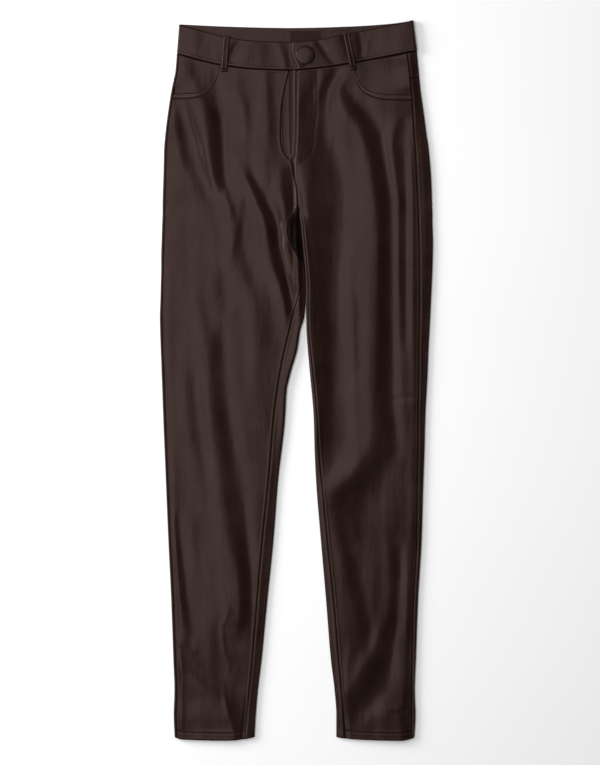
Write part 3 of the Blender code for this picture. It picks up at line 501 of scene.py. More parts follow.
        (345, 75, -0.1, 8, 8), (320, 79, -0.2, 8, 8), (300, 81, -0.2, 8, 8), (275, 84, -0.2, 8, 8),
        (255, 85, -0.1, 8, 8),
    ),
    "left fine line": ((392, 49, 0.4, 3, 2.5), (365, 48, 0.7, 3, 2.5), (335, 48, 0.5, 3, 2.5)),
    "left shin streak": (
        (110, 78, 0.3, 8, 6), (50, 79, 0.4, 8, 6), (0, 80, 0.4, 8, 6), (-50, 81, 0.3, 8, 6),
        (-85, 80, 0.2, 8, 6),
    ),
    "left ankle inner dark": ((-440, 66, 0.6, 4, 8), (-462, 68, 0.5, 4, 8)),
    "right hem notch": (
        (-452, -70, -0.8, 2.5, 2.5), (-475, -72, -1.6, 3, 3), (-495, -74, -1.6, 3, 2),
    ),
    "left hem notch": ((-450, 66, -0.8, 2.5, 3), (-475, 68, -1.6, 3, 3), (-495, 69, -1.4, 3, 3)),
    "left fly hollow": (
        (428, 27, -0.8, 8, 4), (412, 26.5, -1.2, 8, 4), (400, 24, -1.3, 9, 5),
        (389, 24, -1.3, 12, 5), (372, 24, -1.2, 14, 6), (350, 22, -1.0, 12, 6),
        (330, 20, -0.6, 9, 6),
    ),
    "right hem swell": ((-458, -97, 0.4, 44, 8), (-478, -88, 1.3, 48, 7), (-500, -86, 2.0, 50, 7)),
    "right belly ridge": (
        (350, -52, 0.6, 10, 20), (325, -50, 1.5, 11, 24), (300, -48, 2.0, 10, 25),
        (280, -46, 1.8, 9, 22), (262, -44, 0.8, 8, 18),
    ),
    "right thigh faint": (
        (255, -78, 0.5, 8, 6), (235, -79, 0.7, 8, 6), (215, -82, 0.7, 8, 6), (190, -89, 0.6, 8, 6),
        (165, -94, 0.4, 8, 6),
    ),
    "right hip ridge": (
        (392, -177, 0.4, 6, 8), (378, -174, 0.9, 6, 9), (350, -170, 1.1, 7, 10),
        (327, -165, 0.9, 9, 12), (299, -158, 0.6, 10, 12), (275, -150, 0.3, 10, 12),
    ),
}
CROSS_FOLDS = {
    "right ankle crease": (
        (-172, -364, 0.6, 3, 6), (-158, -367, 1.0, 4, 8), (-144, -377, 0.5, 4, 8),
    ),
    "right hem crest": (
        (-160, -470, 0.6, 12, 14), (-130, -462, 1.0, 16, 16), (-100, -464, 0.8, 14, 12),
    ),
    "left knee crease": ((126, -28, -0.5, 3, 3), (140, -25, -0.9, 3, 3), (163, -23, -0.7, 3, 3)),
    "left hem crest": ((105, -468, 0.6, 8, 10), (130, -461, 1.2, 12, 9), (158, -458, 0.9, 10, 7)),
    "left ankle crease": (
        (136, -464, -0.5, 2.5, 3), (148, -459, -0.9, 2.5, 3), (160, -454, -0.6, 2.5, 3),
    ),
}
FOLD_FADE = 22.0
CROSS_FADE = 12.0
FOLD_SAMPLES = 60


def fold_sum(folds, fade_length, across, along_line):
    """Adds up folds, each with its own crest line, height and two flanks."""
    total = np.zeros(np.broadcast(across, along_line).shape)
    for rows in folds.values():
        ends = sorted(row[0] for row in rows)
        levels = np.linspace(ends[0], ends[-1], FOLD_SAMPLES)
        crest, height, before, after = (
            np.interp(along_line, levels, smooth_line([(row[0], row[k]) for row in rows], levels))
            for k in range(1, 5)
        )
        offset = across - crest
        width = np.where(offset < 0.0, before, after)
        fade = ease((ends[-1] + fade_length - along_line) / fade_length)
        fade = fade * ease((along_line - ends[0] + fade_length) / fade_length)
        total = total + height * fade * bump_at(offset, width)
    return total


print("folds placed by hand:", len(LONG_FOLDS) + len(CROSS_FOLDS))


# %% [markdown]
# ## The surface of the upper layer
#
# One height function gives the whole upper surface, so that neighbouring panels meet at their
# seams. It adds the folds and a faint unevenness, keeps clear of the layers below, and comes
# down to the folded edges of each leg.

# %% The height of the cloth
REST_HEIGHT = 5.4
LOWEST_TOP = 2.6
LAYERED_TOP = 4.1
FACING_INNER_X = {RIGHT: -90.0, LEFT: 62.0}
FACING_FADE = (12.0, 36.0)
FACING_FROM_Y = 350.0
SHIELD_SPAN_X = (-30.0, 24.0)
SHIELD_FADE = (8.0, 14.0)
SHIELD_FROM_Y = 285.0
SOFTNESS = 0.7
EDGE_BLEND = 10.0
CROTCH_BLEND = 24.0
CROTCH_RAMP = 9.0
HEM_LIFT = 0.6
HEM_STEP = 1.2
STEEPEST_EDGE = 0.9
NORMAL_REACH = 0.5

rng = np.random.default_rng(7)
WAVES = [
    (length, rng.uniform(-0.45, 0.45), rng.uniform(0.0, math.tau), rng.uniform(0.6, 1.0))
    for length in (23.0, 31.0, 43.0, 59.0)
]
UNEVENNESS = 0.06


def faint_waves(x, y):
    """Small unevenness, stretched along the legs as the cloth is."""
    total = 0.0
    for length, slant, phase, share in WAVES:
        bend = 0.6 * np.sin(y / (3.1 * length) + 2.0 * phase)
        total = total + share * np.sin(math.tau * (x + slant * y * 0.3) / length + phase + bend)
        across = math.tau * (y + slant * x) / (2.7 * length)
        total = total + 0.5 * share * np.sin(across + 1.7 * phase)
    return UNEVENNESS * total


def layered(x, y):
    """1 where a pocket facing or the fly's shield lies under the front, 0 elsewhere."""
    right = ease((FACING_INNER_X[RIGHT] - x) / FACING_FADE[0])
    left = ease((x - FACING_INNER_X[LEFT]) / FACING_FADE[0])
    facings = np.maximum(right, left) * ease((y - FACING_FROM_Y) / FACING_FADE[1])
    shield = ease((x - SHIELD_SPAN_X[0]) / SHIELD_FADE[0])
    shield = shield * ease((SHIELD_SPAN_X[1] - x) / SHIELD_FADE[0])
    return np.maximum(facings, shield * ease((y - SHIELD_FROM_Y) / SHIELD_FADE[1]))


def open_height(x, y):
    """Height of the outer surface away from the folded edges."""
    height = REST_HEIGHT + fold_sum(LONG_FOLDS, FOLD_FADE, x, y)
    height = height + fold_sum(CROSS_FOLDS, CROSS_FADE, y, x)
    height = height + faint_waves(x, y)
    lowest = mix(LOWEST_TOP, LAYERED_TOP, layered(x, y))
    return lowest + SOFTNESS * np.logaddexp(0.0, (height - lowest) / SOFTNESS)


def inner_edge_height(side, y):
    """Height of a leg at its inner folded edge: hollow on the right thigh, full on the left one."""
    resting = smooth_line(INNER_EDGE_HEIGHTS[side], y)
    unfolded = open_height(section(side, "inner", CROTCH_Y), np.asarray(y, dtype=float))
    return mix(unfolded, resting, ease((CROTCH_Y - y) / CROTCH_BLEND))


def top_height(side, x, y):
    """Height of the outer surface of the upper layer, rounded over at the folded edges."""
    sign = OUTWARD[side]
    to_outer = sign * (section(side, "outer", y) - x)
    to_inner = sign * (x - section(side, "inner", y))
    inner_height = inner_edge_height(side, y)
    inner_radius = inner_height / 2.0
    height = mix(EDGE_HEIGHT, open_height(x, y), ease((to_outer - EDGE_HEIGHT / 2.0) / EDGE_BLEND))
    near_inner = mix(inner_height, height, ease((to_inner - inner_radius) / EDGE_BLEND))
    height = mix(height, near_inner, ease((CROTCH_Y - y) / CROTCH_BLEND))
    short = np.clip(inner_radius - to_inner, 0.0, inner_radius * STEEPEST_EDGE)
    rounded = inner_radius - np.sqrt(inner_radius ** 2 - short ** 2)
    height = height - rounded * ease((CROTCH_Y - y) / CROTCH_RAMP)
    hem = ease((-HALF_LENGTH + HEM_DEPTH + HEM_STEP - y) / (2.0 * HEM_STEP))
    return height + HEM_LIFT * hem * ease((to_outer - EDGE_HEIGHT / 2.0) / EDGE_BLEND)


def unit(vectors):
    """The same directions at length 1."""
    return vectors / np.linalg.norm(vectors, axis=-1, keepdims=True)


def normals_of(height_at, side, x, y):
    """Unit normals of a surface that is given by its height at x and y."""
    reach = NORMAL_REACH
    rise_x = (height_at(side, x + reach, y) - height_at(side, x - reach, y)) / (2.0 * reach)
    rise_y = (height_at(side, x, y + reach) - height_at(side, x, y - reach)) / (2.0 * reach)
    return unit(np.stack([-rise_x, -rise_y, np.ones_like(rise_x)], axis=-1))


sample = open_height(*np.meshgrid(np.linspace(-160, 160, 80), np.linspace(-470, 420, 200)))
print("cloth height:", sample.min().round(1), "to", sample.max().round(1), "mm")


# %% [markdown]
# ## Colours and materials
#
# Every colour is written as the sRGB value a screen shows and turned into the linear value
# that the shader needs. One helper adds a node with its settings and links.

# %% Colour and node helpers
# The numbered sockets of the mix node: its share, then two numbers, then two colours.
SHARE, NUMBER_A, NUMBER_B, COLOUR_A, COLOUR_B = 0, 2, 3, 6, 7
MIXED_NUMBER, MIXED_COLOUR = 0, 2


def linear(hex_colour):
    """An sRGB hex colour as linear RGBA."""
    parts = [int(hex_colour[k:k + 2], 16) / 255.0 for k in (1, 3, 5)]
    return (*[c / 12.92 if c <= 0.04045 else ((c + 0.055) / 1.055) ** 2.4 for c in parts], 1.0)


def node(tree, kind, settings=None, links=None):
    """Adds a shader node, sets its properties or sockets by name, and links sockets into it."""
    made = tree.nodes.new(kind)
    for name, value in (settings or {}).items():
        if isinstance(name, str) and hasattr(made, name):
            setattr(made, name, value)
        else:
            made.inputs[name].default_value = value
    for name, source in (links or {}).items():
        tree.links.new(source, made.inputs[name])
    return made


def new_material(name):
    """A new material, its tree of nodes and its shader."""
    material = bpy.data.materials.new(name)
    material.use_nodes = True
    return material, material.node_tree, material.node_tree.nodes["Principled BSDF"]


def per_mm(size):
    """Texture scale for a pattern whose features are this many millimetres apart."""
    return 1.0 / (size * MM)


# %% [markdown]
# ### Polyurethane-coated knit
#
# The cloth is a knitted backing with a thin skin of polyurethane, embossed with a calf grain
# and finished semi-matt. The skin is a dielectric with an IOR of about 1.5, so the eye sees a
# dark brown body under a broad soft sheen. The grain is finer than a millimetre. It is drawn
# at 1.3 mm between pebbles, so that it still shows from a step away.

# %% The coated cloth
GRAIN_MM = 1.3
GRAIN_DEPTH_MM = 0.12
GRAIN_STRENGTH = 0.35
GRAIN_SMOOTHNESS = 0.6
PORE_MM = 0.45
PORE_DEPTH_MM = 0.08
PORE_STRENGTH = 0.12
CLOUD_MM = 45.0
CLOUD_SHARE = 0.2
STREAK_MM = 7.0
STREAK_STRETCH = (1.0, 0.25, 1.0)
STREAK_POLISH = 0.03
CREASE_MM = 11.0
CREASE_STRETCH = (1.0, 0.35, 1.0)
CREASE_DEPTH_MM = 1.0
CREASE_STRENGTH = 0.4
CREVICE_SHADE_COLOUR = "#090504"
CREVICE_SHADE_ROUGHNESS = 0.75
GLOSS = 0.155
COAT = 0.03
COAT_ROUGHNESS = 0.2
GLOSS_TINT = "#FFDAD1"
NOISE_RANGE = {"From Min": 0.3, "From Max": 0.7}
KNIT_DEEP = "#1D0F0C"
KNIT_LIGHTER = "#41302C"


def coated_knit(name, deep, wear_and_highlight, roughness):
    """Coated cloth: brown body, lighter where it is worn and where a highlight is painted, and dark
    and dull under painted shade.
    """
    material, tree, shader = new_material(name)
    place = node(tree, "ShaderNodeTexCoord").outputs["Object"]
    cloud = node(
        tree, "ShaderNodeTexNoise", {"Scale": per_mm(CLOUD_MM), "Detail": 3.0}, {"Vector": place}
    )
    streak_place = node(tree, "ShaderNodeMapping", {"Scale": STREAK_STRETCH}, {"Vector": place})
    streak = node(
        tree, "ShaderNodeTexNoise", {"Scale": per_mm(STREAK_MM), "Detail": 2.0},
        {"Vector": streak_place.outputs["Vector"]},
    )
    wear_and_highlight_share = node(tree, "ShaderNodeAttribute", {"attribute_name": "wear_and_highlight"}).outputs["Fac"]
    painted_shade = node(tree, "ShaderNodeAttribute", {"attribute_name": "painted_shade"}).outputs["Fac"]
    tone = node(
        tree, "ShaderNodeMapRange", {**NOISE_RANGE, "To Min": 0.0, "To Max": CLOUD_SHARE},
        {"Value": cloud.outputs["Fac"]},
    )
    share = node(
        tree, "ShaderNodeMath", {"operation": "ADD"}, {0: wear_and_highlight_share, 1: tone.outputs["Result"]}
    )
    # The lighter colour comes with random tone, and with rubbed wear along edges that is partly a
    # painted highlight.
    plain = node(
        tree, "ShaderNodeMix",
        {"data_type": "RGBA", COLOUR_A: linear(deep), COLOUR_B: linear(wear_and_highlight)},
        {SHARE: share.outputs["Value"]},
    )
    # Painted shade: crevices, seam edges and sunk stitching are darkened towards a near black.
    body = node(
        tree, "ShaderNodeMix", {"data_type": "RGBA", COLOUR_B: linear(CREVICE_SHADE_COLOUR)},
        {SHARE: painted_shade, COLOUR_A: plain.outputs[MIXED_COLOUR]},
    )
    polish = node(
        tree, "ShaderNodeMapRange",
        {**NOISE_RANGE, "To Min": roughness - STREAK_POLISH, "To Max": roughness + STREAK_POLISH},
        {"Value": streak.outputs["Fac"]},
    )
    # The painted shade also makes those places dull.
    dulled = node(
        tree, "ShaderNodeMix", {"data_type": "FLOAT", NUMBER_B: CREVICE_SHADE_ROUGHNESS},
        {SHARE: painted_shade, NUMBER_A: polish.outputs["Result"]},
    )
    # Painted shade also takes the reflection out of those places: the specular tint goes to near
    # black there.
    shine = node(
        tree, "ShaderNodeMix",
        {"data_type": "RGBA", COLOUR_A: linear(GLOSS_TINT), COLOUR_B: linear(CREVICE_SHADE_COLOUR)},
        {SHARE: painted_shade},
    )
    grain = node(
        tree, "ShaderNodeTexVoronoi",
        {"feature": "SMOOTH_F1", "Scale": per_mm(GRAIN_MM), "Smoothness": GRAIN_SMOOTHNESS},
        {"Vector": place},
    )
    pores = node(
        tree, "ShaderNodeTexNoise", {"Scale": per_mm(PORE_MM), "Detail": 2.0}, {"Vector": place}
    )
    crease_place = node(tree, "ShaderNodeMapping", {"Scale": CREASE_STRETCH}, {"Vector": place})
    creases = node(
        tree, "ShaderNodeTexNoise",
        {"Scale": per_mm(CREASE_MM), "Detail": 2.0, "Distortion": 0.3},
        {"Vector": crease_place.outputs["Vector"]},
    )
    rumple = node(
        tree, "ShaderNodeBump", {"Strength": CREASE_STRENGTH, "Distance": CREASE_DEPTH_MM * MM},
        {"Height": creases.outputs["Fac"]},
    )
    pebble = node(
        tree, "ShaderNodeBump",
        {"Strength": GRAIN_STRENGTH, "Distance": GRAIN_DEPTH_MM * MM, "invert": True},
        {"Height": grain.outputs["Distance"], "Normal": rumple.outputs["Normal"]},
    )
    skin = node(
        tree, "ShaderNodeBump", {"Strength": PORE_STRENGTH, "Distance": PORE_DEPTH_MM * MM},
        {"Height": pores.outputs["Fac"], "Normal": pebble.outputs["Normal"]},
    )
    tree.links.new(body.outputs[MIXED_COLOUR], shader.inputs["Base Color"])
    tree.links.new(dulled.outputs[MIXED_NUMBER], shader.inputs["Roughness"])
    tree.links.new(skin.outputs["Normal"], shader.inputs["Normal"])
    tree.links.new(shine.outputs[MIXED_COLOUR], shader.inputs["Specular Tint"])
    shader.inputs["IOR"].default_value = 1.5
    shader.inputs["Specular IOR Level"].default_value = GLOSS
    shader.inputs["Coat Weight"].default_value = COAT
    shader.inputs["Coat Roughness"].default_value = COAT_ROUGHNESS
    return material


faux_leather = coated_knit("coated knit, dark brown", KNIT_DEEP, KNIT_LIGHTER, 0.33)
button_leather = coated_knit("coated knit, stretched over the button", KNIT_DEEP, KNIT_LIGHTER, 0.3)
print("materials so far:", faux_leather.name, "and", button_leather.name)


# %% [markdown]
# ### Knitted backing, zip coil, thread and woven label
#
# The backing is the wrong side of the cloth: a brushed jersey in fine ribs. The zip is a moulded
# nylon coil on a woven tape. The thread is twisted polyester, a little glossier than the knit.
# The label is a satin weave of thin polyester yarn.

# %% The other materials
WALE_MM = 1.2
TWIST_MM = 0.5
YARN_MM = 0.7
YARN_GLOSS = 0.15
NYLON_GLOSS = 0.5
FUZZ_SHARE = 0.6
RIB_DEPTH_MM = 0.15


def ribbed(name, dark, light, roughness, spacing, strength, direction="X"):
    """A cloth or yarn whose fine ribs run one way."""
    material, tree, shader = new_material(name)
    place = node(tree, "ShaderNodeTexCoord").outputs["Object"]
    ribs = node(
        tree, "ShaderNodeTexWave",
        {
            "bands_direction": direction, "Scale": per_mm(spacing) / math.tau * 2.0,
            "Distortion": 0.8, "Detail": 1.0,
        },
        {"Vector": place},
    )
    fuzz = node(
        tree, "ShaderNodeTexNoise", {"Scale": per_mm(spacing * FUZZ_SHARE), "Detail": 2.0},
        {"Vector": place},
    )
    body = node(
        tree, "ShaderNodeMix",
        {"data_type": "RGBA", COLOUR_A: linear(dark), COLOUR_B: linear(light)},
        {SHARE: fuzz.outputs["Fac"]},
    )
    raised = node(
        tree, "ShaderNodeBump", {"Strength": strength, "Distance": RIB_DEPTH_MM * MM},
        {"Height": ribs.outputs["Fac"]},
    )
    tree.links.new(body.outputs[MIXED_COLOUR], shader.inputs["Base Color"])
    tree.links.new(raised.outputs["Normal"], shader.inputs["Normal"])
    shader.inputs["Roughness"].default_value = roughness
    shader.inputs["Specular IOR Level"].default_value = YARN_GLOSS
    shader.inputs["Specular Tint"].default_value = linear(GLOSS_TINT)
    return material


backing = ribbed("brushed jersey backing", "#1A100E", "#30211E", 0.9, WALE_MM, 0.5)
coil_nylon = ribbed("moulded nylon coil", "#4A3A36", "#6A5853", 0.35, TWIST_MM, 0.2, "Y")
tape_weave = ribbed("woven zip tape", "#1F1310", "#35231F", 0.8, YARN_MM, 0.3, "Y")
thread = ribbed("twisted polyester thread", "#2C1C18", "#46322D", 0.5, TWIST_MM, 0.4, "DIAGONAL")
label_satin = ribbed("woven label satin", "#1A100D", "#2A1C18", 0.6, YARN_MM, 0.3, "Y")
nylon_shader = coil_nylon.node_tree.nodes["Principled BSDF"]
nylon_shader.inputs["Specular IOR Level"].default_value = NYLON_GLOSS
trims = (backing, coil_nylon, tape_weave, thread, label_satin)
print("trim materials:", ", ".join(material.name for material in trims))


# %% [markdown]
# ## From a grid of points to a cloth shell
#
# Each piece is a grid of points on its outer side. The shell offsets the grid inwards by the
# cloth's thickness and closes it round the rim. Near the rim the surface swells into a soft bead
# and rolls down, as an edge does when it is turned under and sewn. Two numbers are kept for each
# point, for the material to read: "mark" where a crevice or a sunk line of stitching is dark and
# dull, and "worn" where a raised edge is rubbed lighter.

# %% The shell builder
ROLL_WIDTH = 2.2
ROLL_DEPTH = 0.5
BEAD_AT = 2.5
BEAD_WIDTH = 1.0
BEAD_SHARE = 0.5
SEAM_SHADE_WIDTH = 0.8
SEAM_SHADE = 1.5
WEAR_HIGHLIGHT_AT = 2.1
WEAR_HIGHLIGHT_WIDTH = 0.8
WEAR_HIGHLIGHT_SHARE = 0.65
ROUNDEST = 0.98
SHARP_ANGLE = math.radians(50.0)


def edge_distances(points):
    """How far each grid point is, along the cloth, from its first and last row and column."""
    distances = []
    for axis in (0, 1):
        step = np.linalg.norm(np.diff(points, axis=axis), axis=-1)
        start = np.zeros_like(np.take(step, [0], axis=axis))
        travelled = np.concatenate([start, np.cumsum(step, axis=axis)], axis=axis)
        distances += [travelled, np.take(travelled, [-1], axis=axis) - travelled]
    return np.array(distances)


def link_mesh(name, points, faces, materials, inner_range=None):
    """Adds a smooth mesh, in millimetres; the faces in inner_range take the second material."""
    mesh = bpy.data.meshes.new(name)
    mesh.from_pydata((np.asarray(points) * MM).tolist(), [], faces)
    for material in materials:
        mesh.materials.append(material)
    if inner_range is not None and len(materials) > 1:
        indices = np.zeros(len(faces), dtype=np.int32)
        indices[inner_range[0]:inner_range[1]] = 1
        mesh.polygons.foreach_set("material_index", indices)
    mesh.shade_smooth()
    mesh.set_sharp_from_angle(angle=SHARP_ANGLE)
    piece = bpy.data.objects.new(name, mesh)
    bpy.context.scene.collection.objects.link(piece)
    return piece


def quads_of(*corners):
    """Quads from four arrays of point numbers, one array for each corner."""
    return np.stack(corners, axis=-1).reshape(-1, 4)


def grid_faces(number, flip=False):
    """Quads between neighbouring points of a grid of point numbers."""
    quads = quads_of(number[:-1, :-1], number[:-1, 1:], number[1:, 1:], number[1:, :-1])
    return quads[:, ::-1] if flip else quads


def outer_area(points):
    """Area of the outer side of a grid, in square millimetres."""
    first = points[1:, 1:] - points[:-1, :-1]
    second = points[1:, :-1] - points[:-1, 1:]
    return float(0.5 * np.linalg.norm(np.cross(first, second), axis=-1).sum())


def store(piece, name, values):
    """Keeps one number for each point, for the material to read."""
    attribute = piece.data.attributes.new(name, "FLOAT", "POINT")
    attribute.data.foreach_set("value", np.tile(values.reshape(-1), 2).astype(np.float32))


def cloth_shell(name, outer, normal, wall, materials, rolls=(ROLL_DEPTH,) * 4, marks=(0.0, 0.0)):
    """A closed shell of cloth under a grid of outer points.

    Its four edges roll down by rolls, and marks are its painted shade and its lighter wear and
    painted highlight between them.
    """
    distances = edge_distances(outer)
    depth = np.reshape(rolls, (4, 1, 1))
    short = np.clip(1.0 - distances / ROLL_WIDTH, 0.0, 1.0)
    dip = (depth * (1.0 - np.sqrt(1.0 - short ** 2 * ROUNDEST))).max(axis=0)
    bead = (depth * BEAD_SHARE * bump_at(distances - BEAD_AT, BEAD_WIDTH)).max(axis=0)
    outside = outer - normal * (dip - bead)[..., None]
    outside[..., 2] = np.maximum(outside[..., 2], 0.0)
    inside = outer - normal * wall
    rows, columns = outer.shape[:2]
    over = np.arange(rows * columns).reshape(rows, columns)
    under = over + rows * columns
    first_turn = np.cross(outer[0, 1] - outer[0, 0], outer[1, 0] - outer[0, 0])
    facing_out = first_turn @ normal[0, 0] > 0.0
    ring = np.concatenate([over[0], over[1:, -1], over[-1, -2::-1], over[-2:0:-1, 0]])
    next_ring = np.roll(ring, -1)
    edge = quads_of(ring, ring + rows * columns, next_ring + rows * columns, next_ring)
    if not facing_out:
        edge = edge[:, ::-1]
    outer_quads = grid_faces(over, not facing_out)
    inner_quads = grid_faces(under, facing_out)
    faces = np.concatenate([outer_quads, edge, inner_quads])
    points = np.concatenate([outside.reshape(-1, 3), inside.reshape(-1, 3)])
    inner_range = (len(outer_quads) + len(edge), len(faces))
    piece = link_mesh(name, points, faces.tolist(), materials, inner_range)
    # Painted shade along every rolled edge, where the seam's crevice lies.
    shade = (SEAM_SHADE * depth * bump_at(distances, SEAM_SHADE_WIDTH)).max(axis=0)
    store(piece, "painted_shade", np.clip(np.maximum(shade, marks[0]), 0.0, 1.0))
    # Lighter along the bead near each edge: partly rubbed wear, partly a painted highlight.
    wear_and_highlight = WEAR_HIGHLIGHT_SHARE * depth * bump_at(distances - WEAR_HIGHLIGHT_AT, WEAR_HIGHLIGHT_WIDTH)
    store(piece, "wear_and_highlight", np.maximum(wear_and_highlight.max(axis=0), marks[1]))
    piece["area_mm2"] = outer_area(outer)
    return piece


def sew(piece, node_names, flat):
    """Says which body and solid a cloth piece belongs to, and the size it was cut to."""
    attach(piece, "root")
    if node_names:
        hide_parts(*node_names)
    area = piece["area_mm2"] * MM * MM
    size = f"{flat[0] / MM:.0f} x {flat[1] / MM:.0f} mm, {area:.4f} m2"
    print(f"{piece.name}: {len(piece.data.polygons)} faces, flat size {size}")


# %% [markdown]
# ## The two fronts
#
# A front runs from the hem to the waist. Its top edge dips round the scooped pocket mouth and
# then follows the waist seam, and the rows of the grid bend to follow it, so that stitches
# beside the mouth run along a row.

# %% Make the fronts
FRONT_COLUMNS = 124
ROW_STEP = 3.4
TOP_LEVEL = 360.0
TOP_ROWS = 58
HEM_ROWS = 9
MOUTH_GROOVE_AT = 7.0
GROOVE_WIDTH = 1.0
GROOVE_DEPTH = 0.5
GROOVE_SHADE = 0.9
J_GROOVE = 0.8
WEAR_HIGHLIGHT_EDGE = 0.9
WEAR_HIGHLIGHT_BESIDE_MOUTH = 0.6
WEAR_HIGHLIGHT_BESIDE_HEM = 0.4
MOUTH_FADE = (1.0, 3.0)
HEM_GROOVE_AT = HEM_DEPTH - 2.2
HEM_GRADE = 0.8
STITCH_ROWS = (-2.2, -1.1, 0.0, 1.1, 2.2)
HEM_FADE = 45.0
CROTCH_ROWS = (-0.3, 0.3)
FAR = 99.0
BESIDE_GROOVE = 2.0
FRONT_ROLLS = (0.5, 0.9, 0.4, 0.5)
# The curved row beside the fly, as pairs of y and x.
J_ROW = (
    (430, 28.0), (400, 28.0), (375, 27.8), (348, 25.2), (327, 24.0),
    (318, 21.0), (311, 16.0), (306, 9.0), (303.5, 2.0),
)


def front_top_edge(side, fractions):
    """The top edge of a front: round the pocket mouth, then along the waist seam."""
    mouth = list(POCKET_MOUTHS[side])
    corner = mouth.pop()
    mouth_curve = along(mouth, np.linspace(0.0, 1.0, 40))
    smoothed = mouth_curve.copy()
    for _ in range(6):
        smoothed[1:-1] = 0.25 * smoothed[:-2] + 0.5 * smoothed[1:-1] + 0.25 * smoothed[2:]
    end_x = float(section(side, "front_edge", FLY_TOP_Y))
    seam_x = np.linspace(corner[0], end_x, 30)
    seam_y = smooth_line(FRONT_WAIST_SEAM, seam_x) - SEAM_GAP / 2.0
    edge = np.concatenate([smoothed, np.stack([seam_x, seam_y], axis=-1)])
    return along(edge, fractions)


def front_plan(side):
    """Plan positions of a front's points, from hem to waist and from outseam to inner edge."""
    fractions = graded(FRONT_COLUMNS)
    sign = OUTWARD[side]
    below_stitches = graded_in(HEM_ROWS, HEM_GRADE) * (HEM_GROOVE_AT - STITCH_ROWS[-1] - 0.2)
    from_hem = np.concatenate([below_stitches, HEM_GROOVE_AT + np.array(STITCH_ROWS)])
    first = HEM_GROOVE_AT + ROW_STEP - HALF_LENGTH
    count = int((TOP_LEVEL - first) / ROW_STEP)
    levels = np.concatenate([from_hem - HALF_LENGTH, np.linspace(first, TOP_LEVEL, count)])
    levels = np.sort(np.concatenate([levels, CROTCH_Y + np.array(CROTCH_ROWS)]))[:, None]
    rough_x = mix(section(side, "outseam", levels), section(side, "front_edge", levels), fractions)
    hem_shift = smooth_line(HEMS[side], rough_x) + HALF_LENGTH
    y = levels + hem_shift * ease((HEM_FADE - HALF_LENGTH - levels) / HEM_FADE)
    outer = section(side, "outseam", y) - sign * SEAM_GAP / 2.0
    inner = section(side, "front_edge", y) + sign * SEAM_GAP / 2.0
    leg = np.dstack([mix(outer, inner, fractions), y])
    edge = front_top_edge(side, fractions)
    v = graded_out(TOP_ROWS, 0.72)[1:, None]
    base = leg[-1]
    top_x = mix(base[:, 0], edge[:, 0], v)
    top_y = mix(base[:, 1], edge[:, 1], v)
    wanted = section(side, "front_edge", top_y[:, -1:]) + sign * SEAM_GAP / 2.0
    top_x = top_x + (wanted - top_x[:, -1:]) * fractions ** 2
    return np.concatenate([leg, np.dstack([top_x, top_y])])


def groove_at(distance, strength=1.0):
    """The profile of a sunk line of stitching, by distance from it."""
    return strength * bump_at(distance, GROOVE_WIDTH)


def j_curve(count):
    """Plan points along the curved row that holds the zip."""
    return along([(x, y) for y, x in J_ROW], np.linspace(0.0, 1.0, count))


def front_surface(side, plan):
    """Outer points and normals of a front on its plan, with their painted shade and their lighter
    wear and painted highlight.
    """
    x = plan[..., 0]
    y = plan[..., 1]
    points = np.dstack([x, y, top_height(side, x, y)])
    normal = normals_of(top_height, side, x, y)
    from_top = edge_distances(points)[1]
    mouth_end = abs(POCKET_MOUTHS[side][-1][0])
    in_mouth = ease((np.abs(plan[-1, :, 0]) - mouth_end - MOUTH_FADE[0]) / MOUTH_FADE[1])
    from_hem = y - smooth_line(HEMS[side], x)
    # Sunk rows of stitching, which also get painted shade.
    groove = groove_at(from_top - MOUTH_GROOVE_AT) * in_mouth
    groove = np.maximum(groove, groove_at(from_hem - HEM_GROOVE_AT))
    beside_mouth = from_top - MOUTH_GROOVE_AT + BESIDE_GROOVE
    beside_hem = from_hem - HEM_GROOVE_AT + BESIDE_GROOVE
    # Lighter at the mouth's edge and beside the stitching: partly rubbed wear, partly a painted
    # highlight.
    wear_and_highlight = groove_at(beside_mouth, WEAR_HIGHLIGHT_BESIDE_MOUTH) * in_mouth
    wear_and_highlight = np.maximum(wear_and_highlight, groove_at(from_top - WEAR_HIGHLIGHT_AT, WEAR_HIGHLIGHT_EDGE) * in_mouth)
    wear_and_highlight = np.maximum(wear_and_highlight, groove_at(beside_hem, WEAR_HIGHLIGHT_BESIDE_HEM))
    if side == LEFT:
        away = np.full(x.shape, FAR)
        for row_x, row_y in j_curve(120):
            away = np.minimum(away, np.hypot(x - row_x, y - row_y))
        groove = np.maximum(groove, groove_at(away, J_GROOVE))
    sunk = points - normal * (GROOVE_DEPTH * groove)[..., None]
    return sunk, normal, (GROOVE_SHADE * groove, wear_and_highlight)


front_plans = {}
for side in (RIGHT, LEFT):
    front_plans[side] = front_plan(side)
    points, normal, marks = front_surface(side, front_plans[side])
    sides = [faux_leather, backing]
    piece = cloth_shell("front_" + side, points, normal, WALL, sides, FRONT_ROLLS, marks)
    sew(piece, ["front_panel_" + side], (0.215, 0.965))


# %% [markdown]
# ## The two backs and the yokes
#
# A back lies on the table and wraps round both edges of its leg, up to the seams that show at
# the front. Its section is a nearly flat floor between two round folds. Above the crotch it stops
# at the centre back seam instead. The yoke is cut the same way and closes the hip below the band.
# Deep in the narrow hollow between the thighs the cloth gets painted shade, dark and dull, as no
# light gets there.

